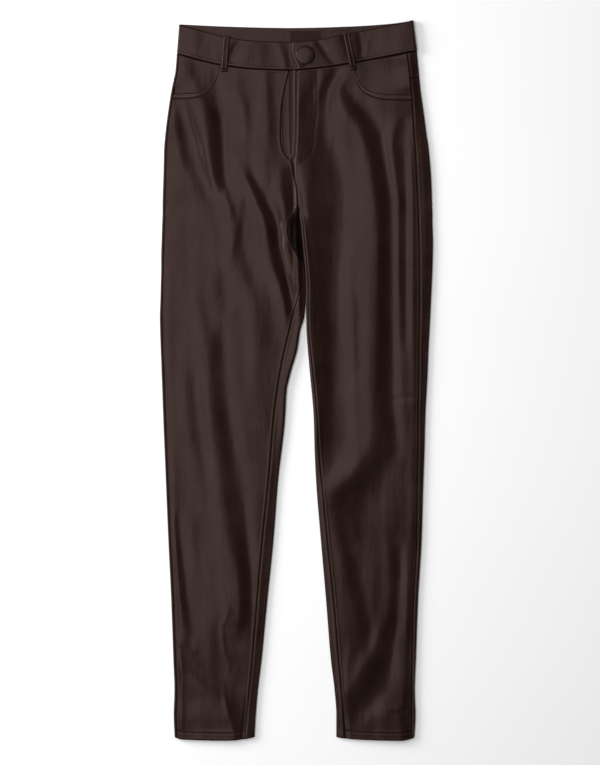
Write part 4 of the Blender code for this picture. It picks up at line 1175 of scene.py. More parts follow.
# %% Make the backs and yokes
INNER_COLUMNS = 26
FLOOR_COLUMNS = 22
OUTER_COLUMNS = 26
UNDER_FOLDS = {
    "right seat": (
        (330, -80, 0.5, 16, 22), (250, -95, 0.8, 16, 22), (150, -105, 0.6, 16, 20),
        (60, -100, 0.4, 14, 18),
    ),
    "right thigh": ((120, -60, 0.4, 12, 18), (20, -75, 0.7, 12, 18), (-90, -80, 0.4, 12, 16)),
    "right calf": ((-130, -110, 0.4, 12, 16), (-240, -105, 0.8, 12, 16), (-350, -115, 0.4, 12, 14)),
    "left seat": (
        (330, 85, 0.5, 20, 16), (240, 95, 0.8, 20, 16), (140, 90, 0.6, 18, 16),
        (70, 98, 0.4, 16, 14),
    ),
    "left thigh": ((90, 60, 0.4, 15, 12), (0, 75, 0.7, 15, 12), (-100, 90, 0.4, 14, 12)),
    "left calf": ((-150, 105, 0.4, 14, 12), (-250, 95, 0.8, 14, 12), (-370, 110, 0.4, 12, 12)),
}
UNDER_INSET = 10.0
UNDER_BLEND = 20.0
HOLLOW_LEVELS = (150.0, 262.0)
HOLLOW_BLEND = 22.0
HOLLOW_FROM_X = -14.0
HOLLOW_FADE = 6.0
HOLLOW_SHADE = 0.85
BACK_TOP_LEVEL = 350.0
BACK_HEM_LEVEL = -HALF_LENGTH + HEM_DEPTH - 2.0
BACK_CROTCH_ROWS = (-0.3, 0.4)
YOKE_ROWS = 24


def under_relief(side, x, y):
    """Soft troughs in the underside: where it doesn't touch the table, it lifts off a little."""
    away = [np.abs(x - section(side, edge, y)) for edge in ("outer", "inner")]
    inside = ease((np.minimum(*away) - UNDER_INSET) / UNDER_BLEND)
    return fold_sum(UNDER_FOLDS, FOLD_FADE, x, y) * inside


def inner_round_start(side, y):
    """The angle at which the back's inner edge starts, measured up from the floor."""
    radius = inner_edge_height(side, y) / 2.0
    distance = np.abs(section(side, "front_edge", y) - section(side, "inner", y)) - SEAM_GAP / 2.0
    on_round = math.pi - np.arcsin(np.clip(1.0 - distance / radius, 0.0, 1.0))
    above = mix(ROUND_START, LIP, ease((y - CROTCH_Y) / LIP_LENGTH))
    return np.where(y > CROTCH_Y, above, on_round)


def inner_round(side, g, y):
    """Points of the back from its inner seam, round the inner fold, to the floor: g is 0 to 1."""
    sign = OUTWARD[side]
    edge = section(side, "inner", y)
    radius = inner_edge_height(side, y) / 2.0
    start = inner_round_start(side, y)
    distance = np.abs(section(side, "front_edge", y) - edge) - SEAM_GAP / 2.0
    strip = np.where(y > CROTCH_Y, 0.0, np.maximum(distance - radius, 0.0))
    arc = radius * start * ARC_WEIGHT
    spread = LIP_SPREAD * ease((y - CROTCH_Y - LIP_LENGTH) / LIP_SPREAD)
    travelled = g * (strip + arc + spread)
    angle = np.clip(start - (travelled - strip) / (radius * ARC_WEIGHT), 0.0, start)
    on_floor = np.maximum(travelled - strip - arc, 0.0)
    seam_reach = np.where(y > CROTCH_Y, radius * np.sin(np.minimum(start, math.pi / 2.0)), radius)
    x = edge + sign * (seam_reach - radius * np.sin(angle) + on_floor)
    z = radius - radius * np.cos(angle)
    normal = np.stack([-sign * np.sin(angle), np.zeros_like(x), -np.cos(angle)], axis=-1)
    on_strip = travelled < strip
    strip_x = edge + sign * (radius + strip - np.minimum(travelled, strip))
    x = np.where(on_strip, strip_x, x)
    z = np.where(on_strip, top_height(side, strip_x, y), z)
    normal = np.where(on_strip[..., None], normals_of(top_height, side, strip_x, y), normal)
    return x, z, normal


def outer_round(side, g, y):
    """Points of the back from the floor, round the outer fold, to the outseam: g is 0 to 1."""
    sign = OUTWARD[side]
    edge = section(side, "outer", y)
    radius = np.full_like(edge, EDGE_HEIGHT / 2.0)
    distance = np.abs(edge - section(side, "outseam", y)) - SEAM_GAP / 2.0
    strip = np.maximum(distance - radius, 0.0)
    end = math.pi - np.arcsin(np.clip(1.0 - distance / radius, 0.0, 1.0))
    arc = radius * end * ARC_WEIGHT
    travelled = g * (arc + strip)
    angle = np.clip(travelled / (radius * ARC_WEIGHT), 0.0, end)
    x = edge - sign * (radius - radius * np.sin(angle))
    z = radius - radius * np.cos(angle)
    normal = np.stack([sign * np.sin(angle), np.zeros_like(x), -np.cos(angle)], axis=-1)
    on_strip = travelled > arc
    strip_x = edge - sign * (radius + np.maximum(travelled - arc, 0.0))
    x = np.where(on_strip, strip_x, x)
    z = np.where(on_strip, top_height(side, strip_x, y), z)
    normal = np.where(on_strip[..., None], normals_of(top_height, side, strip_x, y), normal)
    return x, z, normal


def back_surface(side, y):
    """Outer points and normals of a back, from a grid of levels with a column for each step."""
    inner_g = np.linspace(0.0, 1.0, INNER_COLUMNS + 1)
    outer_g = np.linspace(0.0, 1.0, OUTER_COLUMNS + 1)
    first = y[:, :INNER_COLUMNS + 1]
    last = y[:, -OUTER_COLUMNS - 1:]
    x_in, z_in, n_in = inner_round(side, np.broadcast_to(inner_g, first.shape), first)
    x_out, z_out, n_out = outer_round(side, np.broadcast_to(outer_g, last.shape), last)
    f = np.linspace(0.0, 1.0, FLOOR_COLUMNS + 1)[1:-1]
    x_mid = mix(x_in[:, -1:], x_out[:, :1], f)
    z_mid = under_relief(side, x_mid, y[:, INNER_COLUMNS + 1:-OUTER_COLUMNS - 1])
    n_mid = np.zeros(x_mid.shape + (3,))
    n_mid[..., 2] = -1.0
    x = np.concatenate([x_in, x_mid, x_out], axis=1)
    z = np.concatenate([z_in, z_mid, z_out], axis=1)
    normal = np.concatenate([n_in, n_mid, n_out], axis=1)
    return np.dstack([x, y, z]), normal


def hollow_painted_shade(side, points):
    """How much painted shade darkens the right leg in the narrow hollow under the crotch."""
    x, y, z = points[..., 0], points[..., 1], points[..., 2]
    level = ease((y - HOLLOW_LEVELS[0]) / HOLLOW_BLEND)
    level = level * ease((HOLLOW_LEVELS[1] - y) / HOLLOW_BLEND)
    inner = ease((x - HOLLOW_FROM_X) / HOLLOW_FADE)
    return HOLLOW_SHADE * level * inner * ease(z) * (side == RIGHT)


def across_back(side, bottom, top, v):
    """Levels between two curves across a back, found for each column where it lies."""
    columns = INNER_COLUMNS + FLOOR_COLUMNS + OUTER_COLUMNS + 1
    y = np.full((len(v), columns), 0.5 * float(bottom(0.0, 0.0) + top(0.0, 0.0)))
    for _ in range(4):
        points, _normal = back_surface(side, y)
        upper = ease(points[..., 2] / EDGE_HEIGHT)
        y = mix(bottom(points[..., 0], upper), top(points[..., 0], upper), v[:, None])
    return y


def yoke_line(x, upper):
    """The yoke seam, which runs a little lower on the underside."""
    return smooth_line(YOKE_SEAM, x) - UNDER_SEAM_DROP * (1.0 - upper)


def waist_line(x, upper):
    """The waist seam, which is lower at the front (upper is 1) than at the back (upper is 0)."""
    return mix(smooth_line(BACK_WAIST_SEAM, x), smooth_line(FRONT_WAIST_SEAM, x), upper)


def hem_line(side):
    """The hem of a leg, as across_back takes its curves."""
    return lambda x, upper: smooth_line(HEMS[side], x)


def level_line(level):
    """One level all the way across, as across_back takes its curves."""
    return lambda x, upper: np.zeros_like(x) + level


def shifted(line, distance):
    """The same curve, this much higher."""
    return lambda x, upper: line(x, upper) + distance


for side in (RIGHT, LEFT):
    above_hem = level_line(BACK_HEM_LEVEL)
    hem = across_back(side, hem_line(side), above_hem, graded_in(HEM_ROWS, HEM_GRADE))
    count = int((BACK_TOP_LEVEL - BACK_HEM_LEVEL) / ROW_STEP)
    levels = np.linspace(BACK_HEM_LEVEL, BACK_TOP_LEVEL, count)
    levels = np.sort(np.concatenate([levels, CROTCH_Y + np.array(BACK_CROTCH_ROWS)]))
    straight = np.repeat(levels[:, None], hem.shape[1], axis=1)
    below_yoke = shifted(yoke_line, -SEAM_GAP / 2.0)
    top = across_back(side, level_line(BACK_TOP_LEVEL), below_yoke, graded_out(20, 0.7))
    y = np.concatenate([hem, straight, top[1:]])
    points, normal = back_surface(side, y)
    marks = (hollow_painted_shade(side, points), 0.0)
    piece = cloth_shell("back_" + side, points, normal, WALL, [faux_leather, backing], marks=marks)
    sew(piece, ["back_panel_" + side], (0.245, 0.935))
    above_yoke = shifted(yoke_line, SEAM_GAP / 2.0)
    below_waist = shifted(waist_line, -SEAM_GAP / 2.0)
    y = across_back(side, above_yoke, below_waist, graded(YOKE_ROWS))
    points, normal = back_surface(side, y)
    piece = cloth_shell("back_yoke_" + side, points, normal, WALL, [faux_leather, backing])
    sew(piece, ["yoke_" + side], (0.192, 0.07))


# %% [markdown]
# ## The waistband
#
# The band is one strip, folded double, that runs round the waist. Its right end passes under
# its left end at the centre front, and its left end stands a little higher at the hip. The band's
# front dips lower than its back, so the inside of the back shows above it. The button pulls a few
# short creases into the lap.

# %% Make the waistband
BAND_WALL = 1.6
BAND_ROLLS = (0.3, 0.9, 0.9, 0.35)
BAND_TOP = 5.6
UNDERLAP_TOP = 4.2
OVERLAP_TOP = 6.2
UNDERLAP_END_X = 26.0
UNDERLAP_RAMP_X = -16.0
OVERLAP_RAMP_X = 28.0
LAP_RAMP = 45.0
BAND_ENDS = {RIGHT: (-166.0, -163.0), LEFT: (167.5, 162.5)}
BAND_END_RISE = {RIGHT: 0.0, LEFT: 2.6}
BAND_RISE_X = 92.0
BAND_RISE_INSET = 6.0
BAND_FOLD_FADE = 10.0
BAND_UNEVENNESS = 0.5
BAND_END_INSET = 3.0
BAND_END_BLEND = 7.0
UNDERLAP_SHOWN_X = -7.0
UNDERLAP_FADE = 6.0
BAND_ROWS = 26
BAND_COLUMNS = 90
BAND_FOLDS = {
    "crease beside the right loop": (
        (477, -76, -0.5, 2.5, 3), (462, -85, -1.0, 3, 4), (448, -92, -0.7, 3, 4),
    ),
    "second crease beside the loop": (
        (473, -84, -0.2, 2, 2), (466, -87, -0.4, 2, 2), (456, -90, -0.2, 2, 2),
    ),
    "swell right of the crease": (
        (474, -64, 0.3, 8, 9), (458, -72, 0.6, 9, 14), (440, -78, 0.4, 9, 12),
    ),
    "right band hollow": (
        (474, -44, -0.2, 10, 12), (455, -40, -0.2, 10, 12), (436, -40, -0.2, 9, 12),
    ),
    "swell before the lap": ((472, -26, 0.3, 7, 6), (452, -19, 0.7, 7, 6), (436, -15, 0.9, 7, 5)),
    "lap hollow": ((474, -8, -0.4, 5, 4), (455, -7, -0.6, 5, 4), (440, -3, -0.4, 5, 4)),
    "lap pucker": ((446, 2, 0.3, 4, 4), (438, 4, 0.7, 4, 5), (432, 5, 0.7, 4, 5)),
    "crease from the button": (
        (475, 28, -0.6, 5, 6), (462, 36, -1.1, 6, 7), (448, 45, -0.8, 6, 7), (440, 51, -0.4, 5, 7),
    ),
    "left band swell": ((484, 54, 0.4, 10, 10), (462, 62, 0.6, 11, 10), (442, 66, 0.4, 10, 9)),
    "hollow left of the left loop": (
        (484, 68, -0.4, 5, 5), (470, 70, -0.5, 5, 5), (455, 72, -0.3, 5, 5),
    ),
    "hollow beside the left loop": (
        (488, 86, -0.5, 4, 7), (470, 89, -0.9, 4, 6), (446, 92, -0.6, 4, 6),
    ),
    "pinch beside the left loop": (
        (466, 98, 0.3, 3, 3), (455, 96, 0.6, 3, 3), (446, 93, 0.3, 3, 3),
    ),
    "left end hollow": ((496, 98, -1.0, 26, 34), (470, 98, -1.2, 26, 34), (450, 98, -1.0, 26, 34)),
    "right side hollow": (
        (484, -124, -0.4, 10, 10), (466, -118, -0.7, 12, 10), (446, -108, -0.7, 10, 7),
    ),
    "right side swell": ((486, -145, 0.6, 12, 12), (448, -143, 0.6, 12, 12)),
    "pucker at the right loop": (
        (458, -113, 0.3, 5, 5), (447, -109, 0.8, 6, 6), (440, -106, 0.6, 5, 5),
    ),
}


def front_band_top(side, x):
    """Height of the band's front without creases: its right end goes under its left end."""
    if side == RIGHT:
        return mix(UNDERLAP_TOP, BAND_TOP, ease((UNDERLAP_RAMP_X - x) / LAP_RAMP))
    run = BAND_ENDS[LEFT][1] - BAND_RISE_X - BAND_RISE_INSET
    risen = BAND_END_RISE[LEFT] * ease((x - BAND_RISE_X) / run)
    return mix(OVERLAP_TOP, BAND_TOP, ease((x - OVERLAP_RAMP_X) / LAP_RAMP)) + risen


def band_front_height(side, x, y):
    """Height of the band's front with its creases."""
    shown = ease((UNDERLAP_SHOWN_X - x) / UNDERLAP_FADE) if side == RIGHT else 1.0
    creases = fold_sum(BAND_FOLDS, BAND_FOLD_FADE, x, y)
    creases = creases + BAND_UNEVENNESS * faint_waves(x * 1.3, y * 2.0)
    from_ends = np.minimum(x - BAND_ENDS[RIGHT][0], BAND_ENDS[LEFT][0] - x)
    inside = ease((from_ends - BAND_END_INSET) / BAND_END_BLEND)
    return front_band_top(side, x) + creases * shown * inside


def band_levels(x, v, upper):
    """Levels across the band at x, from its bottom edge to its top edge."""
    bottom = waist_line(x, upper) + SEAM_GAP / 2.0
    top = mix(smooth_line(BACK_BAND_TOP, x), smooth_line(FRONT_BAND_TOP, x), upper)
    return mix(bottom, top, v)


def band_front(side, x, v):
    """Outer points and normals of one side of the band's front."""
    y = band_levels(x, v, 1.0)
    height = band_front_height(side, x, y)
    return np.stack([x, y, height], axis=-1), normals_of(band_front_height, side, x, y)


def band_fold(side, v, going_down):
    """The folded end of the band at one hip, from the front down to the floor or back up."""
    radius = BAND_TOP / 2.0
    sign = OUTWARD[side]
    angles = math.pi * np.linspace(0.0, 1.0, 15)[1:-1]
    angles = angles[::-1] if going_down else angles
    edge = mix(*BAND_ENDS[side], v)
    x = edge - sign * radius * (1.0 - np.sin(angles))[:, None]
    height = BAND_TOP + BAND_END_RISE[side]
    z = 0.5 * height * (1.0 - np.cos(angles))[:, None] + np.zeros_like(x)
    y = band_levels(x, v, ease(z / height))
    normal = np.stack([sign * np.sin(angles), np.zeros_like(angles), -np.cos(angles)], axis=-1)
    return np.stack([x, y, z], axis=-1), np.broadcast_to(normal[:, None], x.shape + (3,))


band_v = graded(BAND_ROWS, 0.6)
right_end = mix(*BAND_ENDS[RIGHT], band_v) + BAND_TOP / 2.0
left_end = mix(*BAND_ENDS[LEFT], band_v) - BAND_TOP / 2.0
f = np.linspace(0.0, 1.0, BAND_COLUMNS + 2)[:, None]
right_x = mix(np.full_like(band_v, UNDERLAP_END_X), right_end, f)
back_x = mix(right_end, left_end, f)
lap_y = mix(BAND_LAP_END[-1][0], BAND_LAP_END[0][0], band_v)
lap_f = graded_out(BAND_COLUMNS, 0.7)[:, None]
left_x = mix(left_end, smooth_line(BAND_LAP_END, lap_y), lap_f)
back_points = np.stack(
    [back_x, band_levels(back_x, band_v, 0.0), np.zeros_like(back_x)], axis=-1
)
back_normal = np.broadcast_to(np.array((0.0, 0.0, -1.0)), back_points.shape)
parts = [
    band_front(RIGHT, right_x, band_v), band_fold(RIGHT, band_v, True), (back_points, back_normal),
    band_fold(LEFT, band_v, False), band_front(LEFT, left_x, band_v),
]
points, normal = (np.concatenate(grids) for grids in zip(*parts))
sides = [faux_leather, faux_leather]
waistband = cloth_shell("waistband_strip", points, normal, BAND_WALL, sides, BAND_ROLLS)
sew(waistband, ["waistband"], (0.735, 0.078))


# %% [markdown]
# ## Pocket facings
#
# Inside each scooped mouth a facing of the same cloth closes the pocket. It lies one layer
# lower than the front and comes up to the surface at the side seam, where it is sewn in.

# %% Make the facings
TUCK = 8.0
MOUTH_CLEARANCE = (2.0, 12.0)
MOUTH_CORNER_DROP = 10.0
FACING_LEVEL_X = 155.0
FACING_WALL = 0.9
FACING_RISE = 26.0


def facing_surface(side):
    """Outer points and normals of a facing, from a little below the mouth to the waist seam."""
    sign = OUTWARD[side]
    mouth = sorted(POCKET_MOUTHS[side])
    corner_x, corner_y = POCKET_MOUTHS[side][-1]
    inner_x = corner_x - sign * TUCK
    low_outer = POCKET_MOUTHS[side][0][0]
    u = graded(40, 0.6)
    v = graded(34, 0.6)[:, None]
    bottom_x = mix(low_outer, inner_x, u)
    bottom_y = smooth_line(mouth, bottom_x + sign * TUCK) - TUCK
    inside = np.abs(bottom_x) < np.abs(corner_x)
    bottom_y = np.where(inside, np.minimum(bottom_y, corner_y - MOUTH_CORNER_DROP), bottom_y)
    top_level = float(smooth_line(FRONT_WAIST_SEAM, sign * FACING_LEVEL_X))
    top_outer = float(section(side, "outseam", top_level))
    top_x = mix(top_outer, inner_x, u)
    top_y = smooth_line(FRONT_WAIST_SEAM, top_x) - SEAM_GAP / 2.0
    x = mix(bottom_x, top_x, v)
    y = mix(bottom_y, top_y, v)
    outseam_x = section(side, "outseam", y) - sign * SEAM_GAP
    x = mix(inner_x, outseam_x, (x - inner_x) / (mix(low_outer, top_outer, v) - inner_x))
    risen = 1.0 - ease(np.abs(x - section(side, "outseam", y)) / FACING_RISE)
    risen = risen * ease((y - smooth_line(mouth, x) - MOUTH_CLEARANCE[0]) / MOUTH_CLEARANCE[1])
    z = top_height(side, x, y) - LAYER_DROP * (1.0 - risen)
    return np.dstack([x, y, z]), normals_of(top_height, side, x, y)


for side in (RIGHT, LEFT):
    points, normal = facing_surface(side)
    piece = cloth_shell("facing_" + side, points, normal, FACING_WALL, [faux_leather, backing])
    sew(piece, ["pocket_facing_" + side], (0.09, 0.068))


# %% [markdown]
# ## The fly
#
# The fly gapes a little. Behind the gap lies the shield of the same cloth, with a folded edge,
# and beside it the closed zip: a nylon coil on its tape. The slider is hidden under the band.

# %% Make the fly shield and the zip
FLY_LOW_Y = 300.0
SHIELD_TOP_Y = 429.5
SHIELD_CENTRE_X = (-4.0, -6.0)
SHIELD_LEAN = 60.0
SHIELD_HALF_WIDTH = 17.0
SHIELD_DROP = 1.4
SHIELD_TILT = 0.7
SHIELD_TILT_WIDTH = 3.6
SHIELD_FALL = 0.6
SHIELD_SLIT_AT = 0.8
SHIELD_SLIT_DEPTH = 0.3
SLIT_SHADE = 0.8
SHIELD_EDGE = (
    (431, -10.4), (403, -10.2), (375, -9.8), (340, -9.4), (318, -8.4), (306, -7.0), (300, -6.2),
)
ZIP_LINE = ((431.0, -3.2), (350.0, -3.6), (318.0, -4.8), (309.0, -6.2))
ZIP_SPAN_Y = (311.0, 430.0)
COIL_PITCH = 1.35
COIL_REACH = 1.5
COIL_ACROSS = (0.1, 0.35, 0.7, 0.95, 1.0)
COIL_BOW = (-0.05, 0.28, 0.3, 0.1, -0.25)
COIL_RADII = (0.22, 0.42, 0.46, 0.42, 0.25)
TAPE_REACH = (-6.2, 4.0)
TAPE_SPAN_Y = (308.0, 430.0)
TAPE_WALL = 0.35
TAPE_LIFT = 0.6
TAPE_ROLL = 0.1
TAPE_RIDGE = 0.25
TAPE_RIDGE_AT = 2.3
TAPE_RIDGE_WIDTH = 0.5
COIL_LIFT = 0.55
ROD_SIDES = 6

y = np.linspace(FLY_LOW_Y, SHIELD_TOP_Y, 60)[:, None]
centre = mix(*SHIELD_CENTRE_X, ease((y - FLY_LOW_Y) / SHIELD_LEAN))
x = centre + SHIELD_HALF_WIDTH * np.linspace(-1.0, 1.0, 70)
y = np.broadcast_to(y, x.shape)
beyond = x - smooth_line(SHIELD_EDGE, y)
tilt = SHIELD_TILT * np.clip(1.0 + beyond / SHIELD_TILT_WIDTH, 0.0, 1.0)
tilt = tilt * (1.0 - ease(beyond / SHIELD_FALL))
slit = bump_at(beyond - SHIELD_SLIT_AT, SHIELD_FALL)
z = open_height(x, y) - SHIELD_DROP + tilt - SHIELD_SLIT_DEPTH * slit
points = np.dstack([x, y, z])
normal = normals_of(top_height, LEFT, x, y)
# The slit beside the shield's folded edge gets painted shade.
marks = (SLIT_SHADE * slit, 0.0)
piece = cloth_shell("shield", points, normal, FACING_WALL, [faux_leather, backing], marks=marks)
sew(piece, ["fly_shield"], (0.034, 0.1305))


def rod_points(centres, radii):
    """Rings of points round short straight rods: centres is rods x rings x 3, radii rings long."""
    direction = unit(centres[:, -1] - centres[:, 0])
    across = unit(np.cross(direction, np.array((0.0, 0.0, 1.0))))
    lift = np.cross(across, direction)
    angle = np.linspace(0.0, math.tau, ROD_SIDES, endpoint=False)[:, None]
    ring = np.cos(angle) * across[:, None, None] + np.sin(angle) * lift[:, None, None]
    return centres[:, :, None] + ring * np.asarray(radii)[None, :, None, None]


def many_rods(name, centres, radii, material):
    """One mesh of many short rods, such as stitches or zip coils, with closed ends."""
    points = rod_points(centres, radii)
    number = np.arange(points[..., 0].size).reshape(points.shape[:3])
    turned = np.roll(number, -1, axis=2)
    faces = quads_of(number[:, :-1], turned[:, :-1], turned[:, 1:], number[:, 1:]).tolist()
    faces += number[:, 0, ::-1].tolist()
    faces += number[:, -1].tolist()
    return link_mesh(name, points.reshape(-1, 3), faces, [material])


zip_y = np.arange(*ZIP_SPAN_Y, COIL_PITCH)
zip_x = smooth_line(ZIP_LINE, zip_y)
coil_z = open_height(zip_x, zip_y) - LAYER_DROP + TAPE_LIFT + COIL_LIFT
centres = []
for hand in (-1.0, 1.0):
    hand_x = zip_x[:, None] + np.array(COIL_ACROSS) * COIL_REACH * hand
    hand_y = (zip_y + COIL_PITCH / 4.0 * hand)[:, None] + np.zeros_like(hand_x)
    hand_z = coil_z[:, None] + np.array(COIL_BOW)
    centres.append(np.stack([hand_x, hand_y, hand_z], axis=-1))
zip_coil = many_rods("zip_coil", np.concatenate(centres), COIL_RADII, coil_nylon)
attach(zip_coil, "root")
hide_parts("zip")

y = np.linspace(*TAPE_SPAN_Y, 60)[:, None]
x = smooth_line(ZIP_LINE, y) + np.linspace(*TAPE_REACH, 30)
y = np.broadcast_to(y, x.shape)
z = open_height(x, y) - LAYER_DROP + TAPE_LIFT
from_chain = np.abs(x - smooth_line(ZIP_LINE, y))
z = z + TAPE_RIDGE * bump_at(from_chain - TAPE_RIDGE_AT, TAPE_RIDGE_WIDTH)
normal = normals_of(top_height, LEFT, x, y)
points = np.dstack([x, y, z])
zip_tape = cloth_shell("zip_tape", points, normal, TAPE_WALL, [tape_weave], (TAPE_ROLL,) * 4)
sew(zip_tape, [], (0.0104, 0.1235))
print("zip coils:", 2 * len(zip_y))


# %% [markdown]
# ## Belt loops, button and label
#
# Each loop is a narrow strip with both long edges turned under, so a soft welt stands along each
# edge. It bows off the band, turns over the band's top edge and is tacked down at its foot. The
# button is a dome covered in the same cloth, pulled tight over a rim. The label is a plain bare
# woven rectangle on the inside of the back of the band.

# %% Make the loops
LOOP_WIDTH = 10.0
LOOP_WALL = 1.2
LOOP_CLEARANCE = 0.4
LOOP_BOW = 0.7
LOOP_CROWN = 0.9
LOOP_TILT = 0.09
WELT_INSET = 1.6
WELT_WIDTH = 0.8
WELT_HEIGHT = 0.25
LOOP_STEP = (6.0, 5.0)
LOOP_BOW_SPAN = (0.1, 0.85)
LOOP_TURN = (0.965, 0.035)
LOOP_TURN_DROP = 1.6
LOOP_ROLL = 0.7
TACK_DEPTH = 0.45
TACK_AT = 0.07
TACK_WIDTH = 0.02
TACK_SHADE = 2.0
LOOP_ENDS = {RIGHT: ((-96.5, 478.8), (-100.5, 428.5)), LEFT: ((69.0, 483.3), (79.5, 431.0))}


def loop_surface(side):
    """Outer points and normals of a loop, from its foot to its head, and its painted shade at the
    tack.
    """
    upper, lower = LOOP_ENDS[side]
    across = LOOP_WIDTH * (graded(30, 0.4) - 0.5)
    v = graded(64, 0.5)[:, None]
    x = mix(lower[0], upper[0], v) + across
    y = np.broadcast_to(mix(lower[1], upper[1], v), x.shape)
    seam_y = smooth_line(FRONT_WAIST_SEAM, x)
    top_y = smooth_line(FRONT_BAND_TOP, x)
    panel = top_height(side, x, y)
    band = band_front_height(side, x, np.minimum(y, top_y))
    under = mix(panel, band, ease((y - seam_y + LOOP_STEP[0]) / LOOP_STEP[1])) + LOOP_CLEARANCE
    bowed = np.clip((v - LOOP_BOW_SPAN[0]) / LOOP_BOW_SPAN[1], 0.0, 1.0)
    bow = LOOP_BOW * np.sin(math.pi * bowed)
    crown = 1.0 - (2.0 * across / LOOP_WIDTH) ** 2
    welt = bump_at(np.abs(across) - LOOP_WIDTH / 2.0 + WELT_INSET, WELT_WIDTH)
    turned_over = np.clip((v - LOOP_TURN[0]) / LOOP_TURN[1], 0.0, 1.0)
    tack = TACK_DEPTH * bump_at(v - TACK_AT, TACK_WIDTH)
    z = under + LOOP_WALL + bow + LOOP_CROWN * crown - LOOP_TILT * across + WELT_HEIGHT * welt
    z = z - LOOP_TURN_DROP * turned_over ** 2 - tack
    points = np.dstack([x, y, z])
    normal = unit(np.cross(np.gradient(points, axis=1), np.gradient(points, axis=0)))
    # The tack's dip also gets painted shade.
    return points, normal * np.sign(normal[..., 2:]), TACK_SHADE * tack + np.zeros_like(x)


for side in (RIGHT, LEFT):
    points, normal, painted_shade = loop_surface(side)
    sides = [faux_leather, backing]
    rolls = (LOOP_ROLL,) * 4
    piece = cloth_shell("loop_" + side, points, normal, LOOP_WALL, sides, rolls, (painted_shade, 0.0))
    sew(piece, ["belt_loop_" + side], (0.0115, 0.056))


# %% Make the button
BUTTON_RADIUS = 13.3
BUTTON_HEIGHT = 4.2
BUTTON_CENTRE = (12.4, 451.5)
BUTTON_BASE = OVERLAP_TOP + 0.4
BUTTON_PROFILE = (
    (0.0, 0.0), (0.70, 0.0), (0.80, 0.03), (0.90, 0.12), (0.965, 0.25), (0.995, 0.40),
    (1.0, 0.52), (0.985, 0.64), (0.95, 0.75), (0.89, 0.83), (0.80, 0.89), (0.66, 0.94),
    (0.48, 0.975), (0.25, 0.995), (0.0, 1.0),
)
BUTTON_STEPS = 72
PUCKERS = 18.0
PUCKER_HEIGHT = 0.05
PUCKER_AT = 0.97
PUCKER_WIDTH = 0.05


def turned(name, profile, radius, height, base, centre, material):
    """A closed turned piece whose profile ends on its axis, with a faintly puckered rim."""
    steps = BUTTON_STEPS
    radii = np.array([p[0] for p in profile[1:-1]]) * radius
    heights = base + np.array([p[1] for p in profile[1:-1]]) * height
    angle = np.linspace(0.0, math.tau, steps, endpoint=False)
    ring_x = centre[0] + radii[:, None] * np.cos(angle)
    ring_y = centre[1] + radii[:, None] * np.sin(angle)
    ring_z = heights[:, None] + np.zeros_like(ring_x)
    at_rim = bump_at(radii / radius - PUCKER_AT, PUCKER_WIDTH)[:, None]
    puckers = PUCKER_HEIGHT * np.sin(angle * PUCKERS) * at_rim
    points = np.stack([ring_x, ring_y, ring_z + puckers], axis=-1).reshape(-1, 3)
    bottom, top = ((*centre, base + profile[end][1] * height) for end in (0, -1))
    points = np.concatenate([points, [bottom, top]])
    rings = len(radii)
    number = np.arange(rings * steps).reshape(rings, steps)
    after = np.roll(number, -1, axis=1)
    quads = quads_of(number[:-1], after[:-1], after[1:], number[1:]).tolist()
    fan_low = [[int(after[0, k]), int(number[0, k]), rings * steps] for k in range(steps)]
    fan_high = [[int(number[-1, k]), int(after[-1, k]), rings * steps + 1] for k in range(steps)]
    return link_mesh(name, points, quads + fan_low + fan_high, [material])


button = turned(
    "covered_button", BUTTON_PROFILE, BUTTON_RADIUS, BUTTON_HEIGHT, BUTTON_BASE, BUTTON_CENTRE,
    button_leather,
)
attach(button, "root")
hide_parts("button")
print("button:", BUTTON_RADIUS * 2, "mm across")


# %% Make the label
LABEL_WALL = 0.4
LABEL_SPAN_X = (-9.5, 33.5)
LABEL_SPAN_Y = (466.0, 485.5)
LABEL_CENTRE_X = 12.0
LABEL_FOLD_AT = 19.5
LABEL_FOLD_WIDTH = 0.8
LABEL_FOLD_HEIGHT = 0.12
LABEL_WAVE = 0.05
LABEL_ROLL = 0.12

x, y = np.meshgrid(np.linspace(*LABEL_SPAN_X, 60), np.linspace(*LABEL_SPAN_Y, 28))
from_fold = np.abs(x - LABEL_CENTRE_X) - LABEL_FOLD_AT
raised_end = LABEL_FOLD_HEIGHT * bump_at(from_fold, LABEL_FOLD_WIDTH)
z = BAND_WALL + SEAM_GAP + LABEL_WALL + raised_end + LABEL_WAVE * np.sin(x / 2.7) * np.cos(y / 3.1)
points = np.dstack([x, y, z])
normal = np.zeros(x.shape + (3,))
normal[..., 2] = 1.0
label = cloth_shell("bare_label", points, normal, LABEL_WALL, [label_satin], (LABEL_ROLL,) * 4)
sew(label, ["label"], (0.043, 0.0195))


# %% [markdown]
# ## Stitches
#
# The stitching is in a thread of the same brown: two rows round each pocket mouth, the curved
# row that holds the zip, a row along the fly's edge, a row round each hem, and a bar on the foot
# of each loop. Each stitch is a short rod that dips into the cloth at both ends, and one function
# makes every row.

# %% Make the stitches
STITCH_LENGTH = 2.7
STITCH_GAP = 0.8
THREAD_RADIUS = 0.2
STITCH_SPAN = (0.0, 0.12, 0.5, 0.88, 1.0)
STITCH_SINK = (-0.25, 0.02, 0.1, 0.02, -0.25)
STITCH_GIRTH = (0.5, 1.0, 1.1, 1.0, 0.5)
LOOP_BAR_ROW = 5
LOOP_BAR_INSET = 4
MOUTH_EDGE_ROW_AT = 2.0
HEM_ROW_Y = -487.0
FLY_ROW_SPAN_Y = (428.0, 310.0)
FLY_ROW_INSET = 2.4
ROW_DROP = 0.25


